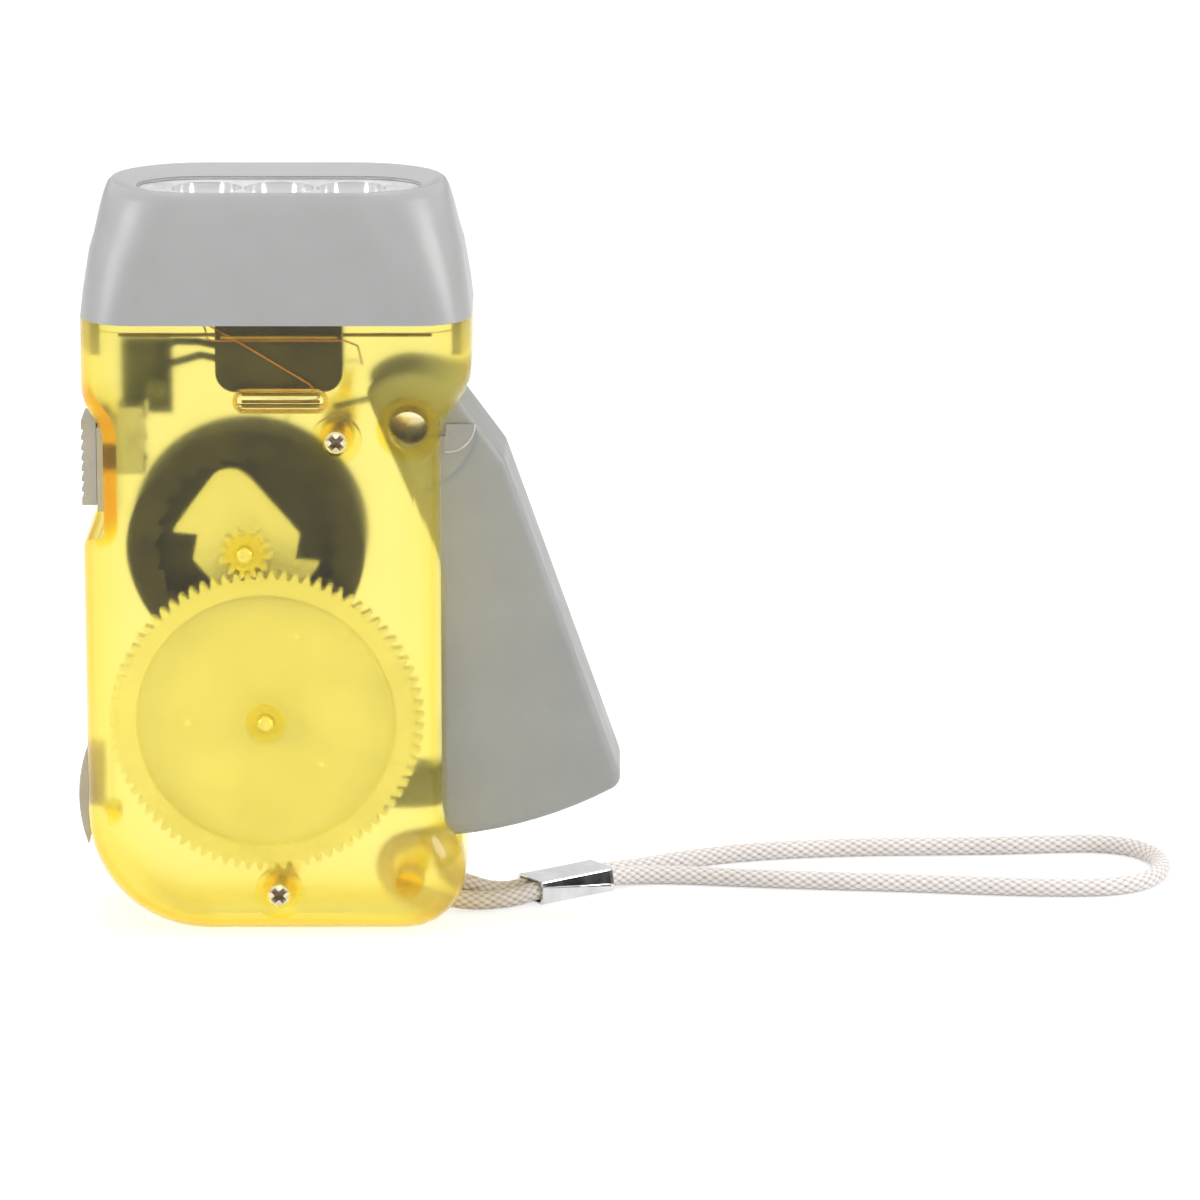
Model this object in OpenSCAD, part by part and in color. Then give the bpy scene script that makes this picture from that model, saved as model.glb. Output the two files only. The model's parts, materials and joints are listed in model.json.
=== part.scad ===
// Squeeze-lever dynamo flashlight: translucent case, sector lever, gear train, flywheel dynamo and wrist strap.
// Origin at the middle of the flat base, +X towards the lever, -Y the front, +Z up. Millimetres.

/* [Case] */
// Height of the whole flashlight
height = 100; // [98:0.5:104]
// Height of the head above its seam with the case
head_height = 17; // [16.5:0.25:18]
// Thickness of the case, front to back
depth = 29; // [28.6:0.2:31]
// Left side of the case
left_x = -25.9; // [-27:0.1:-25.7]
// Right side of the case at the shoulder
right_x = 25.4; // [25:0.1:27]
// Right side of the case at the waist
waist_x = 21.3; // [21.2:0.1:21.8]
// Right side of the foot below the waist
foot_x = 24.45; // [24:0.05:25]
// Wall of the two case shells
wall = 1.8; // [1.5:0.1:2]
// Rounding of the front and back edges
edge_r = 7; // [5.5:0.1:7.2]
// Radius of the large lower left corner
corner_left_r = 16; // [14:0.5:17]
// Radius of the lower right corner
corner_right_r = 8.25; // [7.6:0.05:8.6]

/* [Head] */
// Wall of the head cover
head_wall = 2; // [1.6:0.1:2.2]
// Half length of the window
window_half_x = 18.75; // [18.5:0.05:19]
// Half width of the window
window_half_y = 6.5; // [6.3:0.1:6.8]
// Pitch of the three lamps
led_pitch = 9.5; // [9.4:0.05:9.6]
// Radius of a lamp
led_r = 2.5; // [2.3:0.1:2.6]
// Radius of a reflector bowl at its mouth
bowl_r = 4.6; // [4.4:0.05:4.65]

/* [Lever] */
// Pivot of the lever, across
pivot_x = 17.1; // [16.9:0.1:17.3]
// Depth of the lever's pivot below the seam
pivot_drop = 14.3; // [14.1:0.1:14.5]
// Radius of the pivot post
pivot_r = 2.6; // [2.2:0.1:2.7]
// Width of the lever, front to back
lever_w = 15.2; // [14.8:0.1:15.4]
// Wall of the lever
lever_wall = 1.6; // [1.4:0.1:1.8]
// Height of the lower end of the lever above the base
lever_foot = 12; // [11.9:0.1:12.5]
// How far the lever swings in
lever_swing = 20; // [16:0.5:20.5]

/* [Gears] */
// Module of the fast gear pair
fast_m = 0.5; // [0.49:0.005:0.5]
// Teeth of the large gear
large_teeth = 80; // [76:4:80]
// Teeth of the flywheel pinion
pinion_teeth = 12; // [12:1:13]
// Module of the lever sector and its small pinion
slow_m = 0.8; // [0.78:0.01:0.8]
// Teeth of the small pinion on the large gear
small_teeth = 10; // [9:1:10]
// Teeth of the full ring that the sector is cut from
sector_teeth = 120; // [118:1:120]
// Direction of the large gear from the lever pivot, from straight down towards the left
gear_dir = 25.7; // [25.2:0.1:26]
// Play between teeth, along the pitch circle
backlash = 0.12; // [0.08:0.01:0.2]
// Radius of the flywheel
fly_r = 15.7; // [14.6:0.1:15.8]

/* [Strap] */
// Diameter of the strap cord
cord_d = 2.6; // [2.3:0.05:2.7]
// Length of the folded metal crimp
crimp_len = 12; // [11:0.1:12.4]
// Sheet of the crimp
crimp_t = 0.4; // [0.3:0.05:0.5]

/* [Hidden] */
$fn = 48;

// Clearances and the overrun of every cut
over = 1;
run_gap = 0.05;
loose_gap = 0.3;
slip_gap = 0.15;
same = 0.001;

// Colours
case_yellow = [0.98, 0.86, 0.2, 0.55];
grey_plastic = [0.66, 0.66, 0.65];
knob_grey = [0.76, 0.73, 0.71];
nylon = [0.93, 0.9, 0.72];
steel = [0.78, 0.79, 0.8];
dark_metal = [0.2, 0.2, 0.19];
copper = [0.78, 0.42, 0.2];
cord_white = [0.88, 0.83, 0.82];

// Case outline
half_depth = depth / 2;
seam_z = height - head_height;
pivot_z = seam_z - pivot_drop;
lever_end_r = pivot_z - lever_foot;
quarter = 90;
flare_r = 8;
shoulder_in_r = 3.5;
shoulder_out_r = 8;
shoulder_slope = 37;
shoulder_z = seam_z - 15.6;
trim_top = 10;
edge_steps = 6;

foot_cx = foot_x - corner_right_r;
flare_angle = acos((waist_x + flare_r - foot_cx) / (corner_right_r + flare_r));
flare_z = corner_right_r + (corner_right_r + flare_r) * sin(flare_angle);
shoulder_run = right_x - waist_x - (shoulder_in_r + shoulder_out_r) * (1 - cos(shoulder_slope));
shoulder_top_z = shoulder_z + (shoulder_in_r + shoulder_out_r) * sin(shoulder_slope)
    + shoulder_run / tan(shoulder_slope);
case_top = seam_z + trim_top;

// An arc is [centre x, centre z, radius, first angle, last angle, steps, bulge], bulge -1 where it is hollow
CASE_ARCS = [
    [foot_cx, corner_right_r, corner_right_r, -90, flare_angle, 8, 1],
    [waist_x + flare_r, flare_z, flare_r, 180 + flare_angle, 180, 4, -1],
    [waist_x + shoulder_in_r, shoulder_z, shoulder_in_r, 180, 180 - shoulder_slope, 4, -1],
    [right_x - shoulder_out_r, shoulder_top_z, shoulder_out_r, -shoulder_slope, 0, 4, 1],
    [right_x - shoulder_out_r, case_top - shoulder_out_r, shoulder_out_r, 0, 90, 2, 1],
    [left_x + shoulder_out_r, case_top - shoulder_out_r, shoulder_out_r, 90, 180, 2, 1],
    [left_x + corner_left_r, corner_left_r, corner_left_r, 180, 270, 12, 1]
];
// Point from which the whole outline can be seen
case_middle_shares = [0.27, 0.46];
case_middle = [left_x + case_middle_shares[0] * (right_x - left_x), case_middle_shares[1] * height];

// Switch recess in the left side
recess_x = -22.8;
recess_low_z = seam_z - 29;
recess_lip_r = 2;
recess_in_r = 1.2;
recess_out_r = 3.5;
recess_edge_r = 5;
recess_top_z = seam_z - 15.4;

function arc_points(a, d) = let (r = a[2] - a[6] * d)
    [for (i = [0:a[5]]) let (t = a[3] + (a[4] - a[3]) * i / a[5]) [a[0] + r * cos(t), a[1] + r * sin(t)]];
function all_points(arcs, d) = [for (a = arcs) each arc_points(a, d)];
// Points of the arcs drawn in by d, each shared end once
function outline(arcs, d = 0) = let (plain = all_points(arcs, 0), drawn = all_points(arcs, d), n = len(plain))
    [for (i = [0:n - 1]) if (norm(plain[i] - plain[(i + n - 1) % n]) > same) drawn[i]];

// Skin over a row of rings with the same number of points; an outline with hollows has its ends drawn round middles
module skin(rings, middles = []) {
    n = len(rings[0]);
    last = len(rings) - 1;
    m = (last + 1) * n;
    polyhedron(
        points = concat([for (ring = rings) each ring], middles),
        faces = concat(
            len(middles) == 0 ? [[for (i = [n - 1:-1:0]) i], [for (i = [0:n - 1]) last * n + i]]
                : [for (i = [0:n - 1]) let (j = (i + 1) % n) each [[m, j, i], [m + 1, last * n + i, last * n + j]]],
            [for (k = [0:last - 1], i = [0:n - 1]) let (j = (i + 1) % n) [k * n + i, k * n + j, (k + 1) * n + j]],
            [for (k = [0:last - 1], i = [0:n - 1]) let (j = (i + 1) % n)
                [k * n + i, (k + 1) * n + j, (k + 1) * n + i]]
        )
    );
}

// Pillow with the outline of the arcs, rounded by r at both ends, from y0 to y1
module pillow(arcs, middle, y0, y1, r, inset = 0, steps = edge_steps) {
    front = [for (i = [0:steps]) let (t = quarter * (1 - i / steps)) [r * (1 - cos(t)), y0 + r * (1 - sin(t))]];
    back = [for (i = [0:steps]) let (t = quarter * i / steps) [r * (1 - cos(t)), y1 - r * (1 - sin(t))]];
    skin([for (s = concat(front, back)) [for (p = outline(arcs, inset + s[0])) [p[0], s[1], p[1]]]],
        [for (y = [y0, y1]) [middle[0], y, middle[1]]]);
}

// Flat shape in the plane of the front, extruded from y0 back to y1
module slab(y0, y1) {
    translate([0, y1, 0]) rotate([90, 0, 0]) linear_extrude(y1 - y0) children();
}

module rod(x, z, y0, y1, r) {
    translate([x, y1, z]) rotate([90, 0, 0]) cylinder(h = y1 - y0, r = r);
}

module tube(x, z, y0, y1, r, bore) {
    difference() {
        rod(x, z, y0, y1, r);
        rod(x, z, y0 - over, y1 + over, bore);
    }
}

// Box between two corners
module block(a, b) {
    translate(a) cube(b - a);
}

module stadium(half_x, r) {
    square([2 * (half_x - r), 2 * r], center = true);
    for (s = [-1, 1]) translate([s * (half_x - r), 0]) circle(r);
}

// Flat piece with rounded corners from its two corners
module round_plate(a, b, r) {
    translate([a[0] + r, a[1]]) square([b[0] - a[0] - 2 * r, b[1] - a[1]]);
    translate([a[0], a[1] + r]) square([b[0] - a[0], b[1] - a[1] - 2 * r]);
    for (x = [a[0] + r, b[0] - r], z = [a[1] + r, b[1] - r]) translate([x, z]) circle(r);
}

// Profile that the switch recess takes out of the side, grown by d
module recess_profile(d = 0) {
    slope = shoulder_slope;
    bends = recess_out_r + recess_edge_r;
    step = (recess_x - left_x - bends * (1 - cos(slope))) / sin(slope);
    far_x = left_x - trim_top;
    edge_z = recess_top_z + bends * sin(slope) + step * cos(slope);
    polygon(concat(
        [[far_x, recess_low_z - recess_lip_r]],
        arc_points([left_x + recess_lip_r, recess_low_z - recess_lip_r, recess_lip_r, 180, 90, 4, 1], d),
        arc_points([recess_x - recess_in_r, recess_low_z + recess_in_r, recess_in_r, -90, 0, 4, -1], d),
        arc_points([recess_x - recess_out_r, recess_top_z, recess_out_r, 0, slope, 4, -1], d),
        arc_points([left_x + recess_edge_r, edge_z, recess_edge_r, 180 + slope, 180, 4, 1], d),
        [[far_x, edge_z]]
    ));
}

// Mechanism layout
dy_front = -half_depth + wall;
gear_dist = slow_m * (sector_teeth - small_teeth) / 2;
gear_x = pivot_x - gear_dist * sin(gear_dir);
gear_z = pivot_z - gear_dist * cos(gear_dir);
fast_dist = fast_m * (large_teeth + pinion_teeth) / 2;
fly_dir = 96.2;
fly_x = gear_x + fast_dist * cos(fly_dir);
fly_z = gear_z + fast_dist * sin(fly_dir);
axle_r = 1;

gear_behind_wall = 2.1;
gear_thick = 2.4;
gear_y0 = dy_front + gear_behind_wall;
gear_y1 = gear_y0 + gear_thick;
small_y = 2.2;
fly_behind_gear = 1.8;
fly_y0 = gear_y1 + fly_behind_gear;
fly_y1 = fly_y0 + 11.4;
carrier_y0 = fly_y0 + 0.2;
carrier_y1 = carrier_y0 + 1.6;
cheek = lever_w / 2;
pad_t = 0.35;

// Bosses and posts
post_joint_y = -6;
screw_at = [[7.7, seam_z - 15.7], [-0.4, 5.9]];
screw_boss_r = 3.3;
screw_neck_r = 2.3;
screw_collar_y = dy_front + 1.75;
screw_hole_r = 1;
screw_head_r = 1.5;
screw_seat_y = dy_front + 0.1;
screw_tip_y = 3;
pilot_r = 0.8;
pivot_boss_r = 4.2;
pivot_boss_y = -cheek - pad_t - 0.95;
axle_boss_r = 2.6;
pinion_boss_r = 2.9;
boss_end_y = gear_y0 - loose_gap;
strap_post = [16.7, 6.9];
strap_post_r = 1.9;
lock_post = [-22, 16.3];
lock_post_r = 1;
lock_post_y = dy_front + 7.7;

// Front slot with its ribs, and the snap rib under the seam
slot_x = 0.55;
slot_z = seam_z - 10;
slot_half = 5.95;
slot_r = 1.45;
slot_deep = 1.1;
slot_rib = 0.45;
rib_low = 1.8;
rib_high = 1.3;
rib_deep = 0.6;
notch_x0 = -7.3;
notch_x1 = 8.2;

// Openings in the sides
lever_slot = cheek + pad_t + loose_gap;
lever_slot_z0 = lever_foot - 0.5;
lever_slot_z1 = pivot_z + 5.5;
lever_slot_x = 18.5;
strap_slot_half = 3.1;
strap_slot_x = 17.2;
strap_slot_z0 = 0.5;
strap_slot_z1 = 5.6;
switch_slot_half = 1.8;
lock_slot_half = 1.9;

module shell_wall(side) {
    y0 = side < 0 ? -half_depth - over : 0;
    y1 = side < 0 ? 0 : half_depth + over;
    difference() {
        intersection() {
            pillow(CASE_ARCS, case_middle, -half_depth, half_depth, edge_r);
            block([left_x - over, y0, -over], [right_x + over, y1, seam_z]);
        }
        difference() {
            pillow(CASE_ARCS, case_middle, wall - half_depth, half_depth - wall, edge_r - wall, wall);
            slab(-half_depth, half_depth) recess_profile(wall);
        }
        slab(-half_depth - over, half_depth + over) recess_profile();
        block([lever_slot_x, -lever_slot, lever_slot_z0], [right_x + over, lever_slot, lever_slot_z1]);
        block([strap_slot_x, -strap_slot_half, strap_slot_z0], [right_x + over, strap_slot_half, strap_slot_z1]);
        block([left_x - over, -switch_slot_half, neck_z0 - loose_gap],
            [recess_x + wall + over, switch_slot_half, neck_z1 + knob_travel + loose_gap]);
        block([left_x - over, -lock_slot_half, lock_neck_z0 - loose_gap],
            [left_x + wall + over, lock_slot_half, lock_neck_z1 + lock_travel + loose_gap]);
    }
}

// Rib round the inside, just under the seam, left out at the front notch
module snap_rib(y0, y1) {
    difference() {
        intersection() {
            pillow(CASE_ARCS, case_middle, wall / 2 - half_depth, half_depth - wall / 2, edge_r - wall / 2, wall / 2);
            block([left_x, y0, seam_z - rib_low], [right_x, y1, seam_z - rib_high]);
        }
        pillow(CASE_ARCS, case_middle, wall + rib_deep - half_depth, half_depth - wall - rib_deep,
            edge_r - wall - rib_deep, wall + rib_deep);
        block([notch_x0, -half_depth, seam_z - rib_low - over], [notch_x1, 0, seam_z]);
        for (x = [left_x, right_x - 2 * wall]) block([x, -tongue_half - slip_gap, seam_z - rib_low - over],
            [x + 2 * wall, tongue_half + slip_gap, seam_z]);
    }
}

module front_shell() {
    color(case_yellow) difference() {
        union() {
            shell_wall(-1);
            snap_rib(-half_depth, 0);
            for (p = screw_at) {
                rod(p[0], p[1], dy_front - wall / 2, screw_collar_y, screw_boss_r);
                rod(p[0], p[1], dy_front - wall / 2, post_joint_y, screw_neck_r);
            }
            rod(pivot_x, pivot_z, dy_front - wall / 2, pivot_boss_y, pivot_boss_r);
            rod(gear_x, gear_z, dy_front - wall / 2, boss_end_y, axle_boss_r);
            rod(fly_x, fly_z, dy_front - wall / 2, boss_end_y, pinion_boss_r);
            rod(strap_post[0], strap_post[1], dy_front - wall / 2, 0, strap_post_r);
            rod(lock_post[0], lock_post[1], dy_front - wall / 2, lock_post_y, lock_post_r);
        }
        for (p = screw_at) {
            rod(p[0], p[1], -half_depth, post_joint_y + over, screw_hole_r);
            rod(p[0], p[1], -half_depth - over, screw_seat_y, screw_head_r + slip_gap);
        }
        rod(pivot_x, pivot_z, dy_front, pivot_boss_y + over, pivot_r);
        rod(gear_x, gear_z, dy_front, boss_end_y + over, axle_r);
        rod(fly_x, fly_z, dy_front, boss_end_y + over, axle_r);
        difference() {
            slab(-half_depth - over, slot_deep - half_depth) translate([slot_x, slot_z]) stadium(slot_half, slot_r);
            for (s = [-1, 1]) translate([slot_x, -half_depth, slot_z + s * slot_r / 2])
                cube([2 * slot_half, 2 * over, slot_rib], center = true);
        }
    }
}

module rear_shell() {
    rear_in = half_depth - wall / 2;
    color(case_yellow) difference() {
        union() {
            shell_wall(1);
            snap_rib(0, half_depth);
            for (p = screw_at) rod(p[0], p[1], post_joint_y, rear_in, screw_neck_r);
            rod(pivot_x, pivot_z, dy_front, rear_in, pivot_r);
            rod(pivot_x, pivot_z, -pivot_boss_y, rear_in, pivot_boss_r);
            rod(gear_x, gear_z, small_y + loose_gap, rear_in, axle_boss_r);
            rod(strap_post[0], strap_post[1], 0, rear_in, strap_post_r);
            rod(fly_x, fly_z, stator_y1 + stator_gap, rear_in, axle_boss_r);
            for (a = stator_post_dirs) rod(fly_x + stator_post_at * cos(a), fly_z + stator_post_at * sin(a),
                stator_y1, rear_in, stator_post_r);
            rod(spring_post[0], spring_post[1], spring_post_y, rear_in, spring_post_r);
        }
        for (p = screw_at) rod(p[0], p[1], post_joint_y - over, screw_tip_y + over, pilot_r);
        rod(gear_x, gear_z, small_y, half_depth - wall, axle_r);
        rod(fly_x, fly_z, stator_y1, half_depth - wall, axle_r);
    }
}

// Head cover: plan sections that taper towards the window
head_half = (right_x - left_x) / 2;
head_cx = (right_x + left_x) / 2;
head_rise = height - seam_z;
head_corner = [7.5, 7.5];
head_corner_top = [12, 10.6];
head_rise_shares = [0, 0.2, 0.5, 0.62, 0.72, 0.82, 0.92, 0.97, 1, 1];
head_side_shares = [0, 0.014, 0.045, 0.068, 0.083, 0.098, 0.116, 0.13, 0.15, 0.168];
head_depth_shares = [0, 0.015, 0.05, 0.073, 0.095, 0.115, 0.14, 0.156, 0.185, 0.22];
head_sections = len(head_rise_shares);
head_cavity = 6;
head_drop = 1.9;
window_corner = [8.5, 6.2];
window_rim = 0.35;
window_sunk = 0.9;
corner_steps = 8;

// Rounded outline with elliptical corners
function rounded(hx, hy, r) = [
    for (c = [[1, 1, 0], [-1, 1, 90], [-1, -1, 180], [1, -1, 270]], i = [0:corner_steps])
    let (t = c[2] + 90 * i / corner_steps) [c[0] * (hx - r[0]) + r[0] * cos(t), c[1] * (hy - r[1]) + r[1] * sin(t)]
];
function at_height(points, x, z) = [for (p = points) [p[0] + x, p[1], z]];
function head_ring(k, inset, z) = at_height(rounded(
    head_half * (1 - head_side_shares[k]) - inset, half_depth * (1 - head_depth_shares[k]) - inset,
    head_corner + (head_corner_top - head_corner) * head_rise_shares[k] - [inset, inset]), head_cx, z);
module turned_skin(rings) {
    skin([for (i = [len(rings) - 1:-1:0]) rings[i]]);
}
// Window outline, grown by d
module window(d = 0) {
    polygon(rounded(window_half_x + d, window_half_y + d, window_corner + [d, d]));
}

tongue_half = 8;
tongue_t = 1.2;
tongue_z = seam_z - 5;

module head_cover() {
    color(grey_plastic) {
        difference() {
            turned_skin(concat(
                [for (k = [0:head_sections - 1]) head_ring(k, 0, seam_z + head_rise * head_rise_shares[k])],
                [at_height(rounded(window_half_x + window_rim, window_half_y + window_rim,
                    window_corner + [window_rim, window_rim]), 0, height - window_sunk)]
            ));
            turned_skin(concat(
                [head_ring(0, head_wall, seam_z - over)],
                [for (k = [1:head_cavity])
                    head_ring(k, head_wall, seam_z + (head_rise - head_drop) * head_rise_shares[k] /
                        head_rise_shares[head_cavity])]
            ));
            translate([0, 0, seam_z]) linear_extrude(head_rise + over) window();
        }
        for (s = [-1, 1]) {
            x1 = head_cx + s * (head_half - wall - slip_gap);
            x0 = x1 - s * tongue_t;
            block([min(x0, x1), -tongue_half, tongue_z], [max(x0, x1), tongue_half, seam_z + head_wall]);
        }
    }
}

// Optics: lens flange under the window, reflector under it, then lamps and board
lens_flange = 0.9;
lens_flange_t = 0.8;
lens_sunk = 1.1;
lens_z1 = height - head_drop;
lens_z0 = lens_z1 - lens_flange_t;
reflector_t = 9;
reflector_z0 = lens_z0 - reflector_t;
bowl_steps = 8;
board_z1 = reflector_z0 - 2;
board_t = 1.2;
board_z0 = board_z1 - board_t;
led_flange_r = led_r + 0.4;
led_flange_t = 1;
led_len = 8.6;
lead_r = 0.25;
lead_gap = 1.27;
board_half_x = 19.6;
board_half_y = 8;
board_post_r = 1.3;
board_post_x = 16.5;

module lens() {
    color([0.9, 0.95, 0.97, 0.4]) {
        translate([0, 0, lens_z0]) linear_extrude(lens_flange_t) window(lens_flange);
        translate([0, 0, lens_z0]) linear_extrude(height - lens_sunk - lens_z0) window(-slip_gap);
    }
}

module reflector() {
    hole_r = led_r + slip_gap;
    color([0.85, 0.86, 0.88]) difference() {
        union() {
            translate([0, 0, reflector_z0]) linear_extrude(reflector_t) window(-slip_gap);
            for (s = [-1, 1]) translate([s * board_post_x, 0, board_z1])
                cylinder(h = reflector_z0 - board_z1 + over, r = board_post_r);
        }
        for (k = [-1:1]) translate([k * led_pitch, 0, reflector_z0]) {
            translate([0, 0, -over]) cylinder(h = reflector_t, r = hole_r);
            rotate_extrude() polygon(concat(
                [[0, reflector_t + over], [0, over]],
                [for (i = [0:bowl_steps]) let (u = i / bowl_steps)
                    [hole_r + (bowl_r - hole_r) * sqrt(u), over + (reflector_t - over) * u]],
                [[bowl_r, reflector_t + over]]
            ));
        }
    }
}

module lamp(k) {
    color([0.95, 0.96, 0.98, 0.7]) translate([k * led_pitch, 0, board_z1]) {
        cylinder(h = led_flange_t, r = led_flange_r);
        cylinder(h = led_len - led_r, r = led_r);
        translate([0, 0, led_len - led_r]) sphere(led_r);
        for (s = [-1, 1]) translate([s * lead_gap, 0, -board_t - over])
            cylinder(h = board_t + 2 * over, r = lead_r);
    }
}

module led_1() lamp(-1);
module led_2() lamp(0);
module led_3() lamp(1);

module led_board() {
    color([0.16, 0.42, 0.24]) difference() {
        translate([0, 0, board_z0]) linear_extrude(board_t)
            round_plate([-board_half_x, -board_half_y], [board_half_x, board_half_y], board_post_r);
        for (k = [-1:1], s = [-1, 1]) translate([k * led_pitch + s * lead_gap, 0, board_z0 - over])
            cylinder(h = board_t + 2 * over, r = lead_r + run_gap);
    }
}

// Three rechargeable cells in black shrink film, stuck to the front wall
pack_x0 = -8;
pack_x1 = 8.6;
pack_z0 = seam_z - 9.2;
pack_y0 = dy_front + 0.7;
pack_y1 = pack_y0 + 7.6;
pack_corner_r = 2.6;

module battery_pack() {
    color([0.12, 0.12, 0.11]) slab(pack_y0, pack_y1)
        round_plate([pack_x0, pack_z0], [pack_x1, board_z0 - loose_gap], pack_corner_r);
}

// Slide switch behind the recess, its board, its plate and its knob
neck_z0 = seam_z - 21.6;
neck_z1 = neck_z0 + 3;
knob_travel = 1.7;
plate_t = 1.4;
plate_half = 5.2;
plate_z0 = seam_z - 26.8;
plate_z1 = plate_z0 + 11.2;
knob_x = -26.3;
knob_half = 4;
knob_z0 = seam_z - 26.2;
knob_z1 = knob_z0 + 11.4;
knob_groove = 0.45;
knob_groove_pitch = 1.4;
switch_x0 = -20.8;
switch_x1 = -18;
switch_half = 3.4;
switch_z0 = seam_z - 21.8;
switch_z1 = switch_z0 + 9;
nub_half = 0.8;
board_y0 = 2.2;
board2_x1 = -14.4;
board2_z1 = seam_z - 4.4;
can_r = 1.5;
can_at = [-16.4, seam_z - 10.8];
pin_half = 0.35;

module switch_body() {
    wall_x = recess_x + wall;
    color(steel) difference() {
        union() {
            block([wall_x, -switch_half, switch_z0], [switch_x1, switch_half, switch_z1]);
            for (z = [switch_z0 + switch_half / 2, (switch_z0 + switch_z1) / 2, switch_z1 - switch_half / 2])
                block([switch_x1 - pin_half, -pin_half, z - pin_half],
                    [switch_x1 + pin_half, pin_half, z + pin_half]);
        }
        block([wall_x - over, -nub_half - loose_gap, neck_z0 - loose_gap],
            [wall_x + over + loose_gap, nub_half + loose_gap, neck_z1 + knob_travel + loose_gap]);
    }
}

module switch_board() {
    color([0.2, 0.45, 0.28]) {
        block([switch_x1 + pin_half, board_y0, switch_z1 - switch_half / 2],
            [board2_x1, board_y0 + board_t, board2_z1]);
        block([recess_x + wall + loose_gap, board_y0, switch_z1], [switch_x1 + over, board_y0 + board_t, board2_z1]);
        rod(can_at[0], can_at[1], -can_r, board_y0, can_r);
    }
}

module switch_plate() {
    color(knob_grey) difference() {
        block([recess_x - plate_t, -plate_half, plate_z0], [recess_x, plate_half, plate_z1]);
        block([recess_x - plate_t - over, -switch_slot_half + slip_gap, neck_z0 - loose_gap],
            [recess_x + over, switch_slot_half - slip_gap, neck_z1 + knob_travel + loose_gap]);
    }
}

module switch_knob() {
    face_x = recess_x - plate_t - slip_gap;
    color(knob_grey) {
        difference() {
            block([knob_x, -knob_half, knob_z0], [face_x, knob_half, knob_z1]);
            for (z = [knob_z0 + knob_groove_pitch:knob_groove_pitch:knob_z1 - knob_groove_pitch / 2])
                translate([knob_x, 0, z]) rotate([90, 0, 0])
                    cylinder(h = 2 * knob_half + 2 * over, r = knob_groove, center = true);
        }
        block([face_x - over / 2, -switch_slot_half + 2 * loose_gap, neck_z0],
            [recess_x + wall - slip_gap, switch_slot_half - 2 * loose_gap, neck_z1]);
        block([recess_x, -nub_half, neck_z0], [recess_x + wall + over, nub_half, neck_z1]);
    }
}

// Lock button on the lower left side
lock_z0 = 10.3;
lock_z1 = 23.8;
lock_x = -27.4;
lock_half = 4;
lock_neck_z0 = 15.6;
lock_neck_z1 = 19.2;
lock_travel = 3;
lock_guide_x = -23.6;
lock_guide_half = 2.8;
lock_arm_z = 23.6;
lock_bulge = left_x - loose_gap - lock_x;
lock_arc_r = (pow((lock_z1 - lock_z0) / 2, 2) + pow(lock_bulge, 2)) / (2 * lock_bulge);

module lock_button() {
    in_x = left_x + wall + loose_gap;
    color(knob_grey) {
        intersection() {
            rod(lock_x + lock_arc_r, (lock_z0 + lock_z1) / 2, -lock_half, lock_half, lock_arc_r);
            block([lock_x - over, -lock_half, lock_z0], [left_x - loose_gap, lock_half, lock_z1]);
        }
        block([left_x - loose_gap - over / 4, -lock_slot_half + loose_gap, lock_neck_z0],
            [in_x + over / 2, lock_slot_half - loose_gap, lock_neck_z1]);
        block([in_x, -lock_guide_half, lock_neck_z0], [lock_guide_x + over, lock_guide_half, lock_arm_z]);
    }
}

// Lever outline, about the pivot
head_r = 7.2;
head_tangent = 36.3;
inner_edge_d = 3.8;
inner_edge_dir = 201;
lever_tail_x = 20.8;
lever_back_slope = 19.5;
lever_back_d = 10.2;
lever_corner_r = 2;
lever_edge_r = 1.2;
lever_tip_r = 2;

// Rounding of the corner where the back of the lever meets its lower end
back_n = [cos(lever_back_slope), sin(lever_back_slope)];
tip_off = lever_back_d - lever_tip_r;
tip_along = sqrt(pow(lever_end_r - lever_tip_r, 2) - tip_off * tip_off);
tip_c = [tip_off * back_n[0] + tip_along * back_n[1], tip_off * back_n[1] - tip_along * back_n[0]];
tip_angle = atan2(tip_c[1], tip_c[0]);
tail_off = lever_tail_x - pivot_x + lever_corner_r;
tail_c = [tail_off, -sqrt(pow(lever_end_r - lever_corner_r, 2) - tail_off * tail_off)];
tail_angle = atan2(tail_c[1], tail_c[0]);
shoulder_bend_r = 3;
bend_d1 = lever_back_d - shoulder_bend_r;
bend_d2 = head_r - shoulder_bend_r;
tan_n = [cos(head_tangent), sin(head_tangent)];
bend_det = back_n[0] * tan_n[1] - back_n[1] * tan_n[0];
bend_c = [
    (bend_d1 * tan_n[1] - bend_d2 * back_n[1]) / bend_det,
    (bend_d2 * back_n[0] - bend_d1 * tan_n[0]) / bend_det
];
heel_r = 1.8;
in_n = [cos(inner_edge_dir - 180), sin(inner_edge_dir - 180)];
heel_off = inner_edge_d - heel_r;
heel_along = sqrt(pow(head_r - heel_r, 2) - heel_off * heel_off);
heel_c = [-heel_off * in_n[0] - heel_along * in_n[1], heel_along * in_n[0] - heel_off * in_n[1]];
heel_angle = atan2(heel_c[1], heel_c[0]);
waist_bend_r = 6;
waist_c = [
    lever_tail_x - pivot_x - waist_bend_r,
    (-inner_edge_d - waist_bend_r - (lever_tail_x - pivot_x - waist_bend_r) * in_n[0]) / in_n[1]
];

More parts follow.
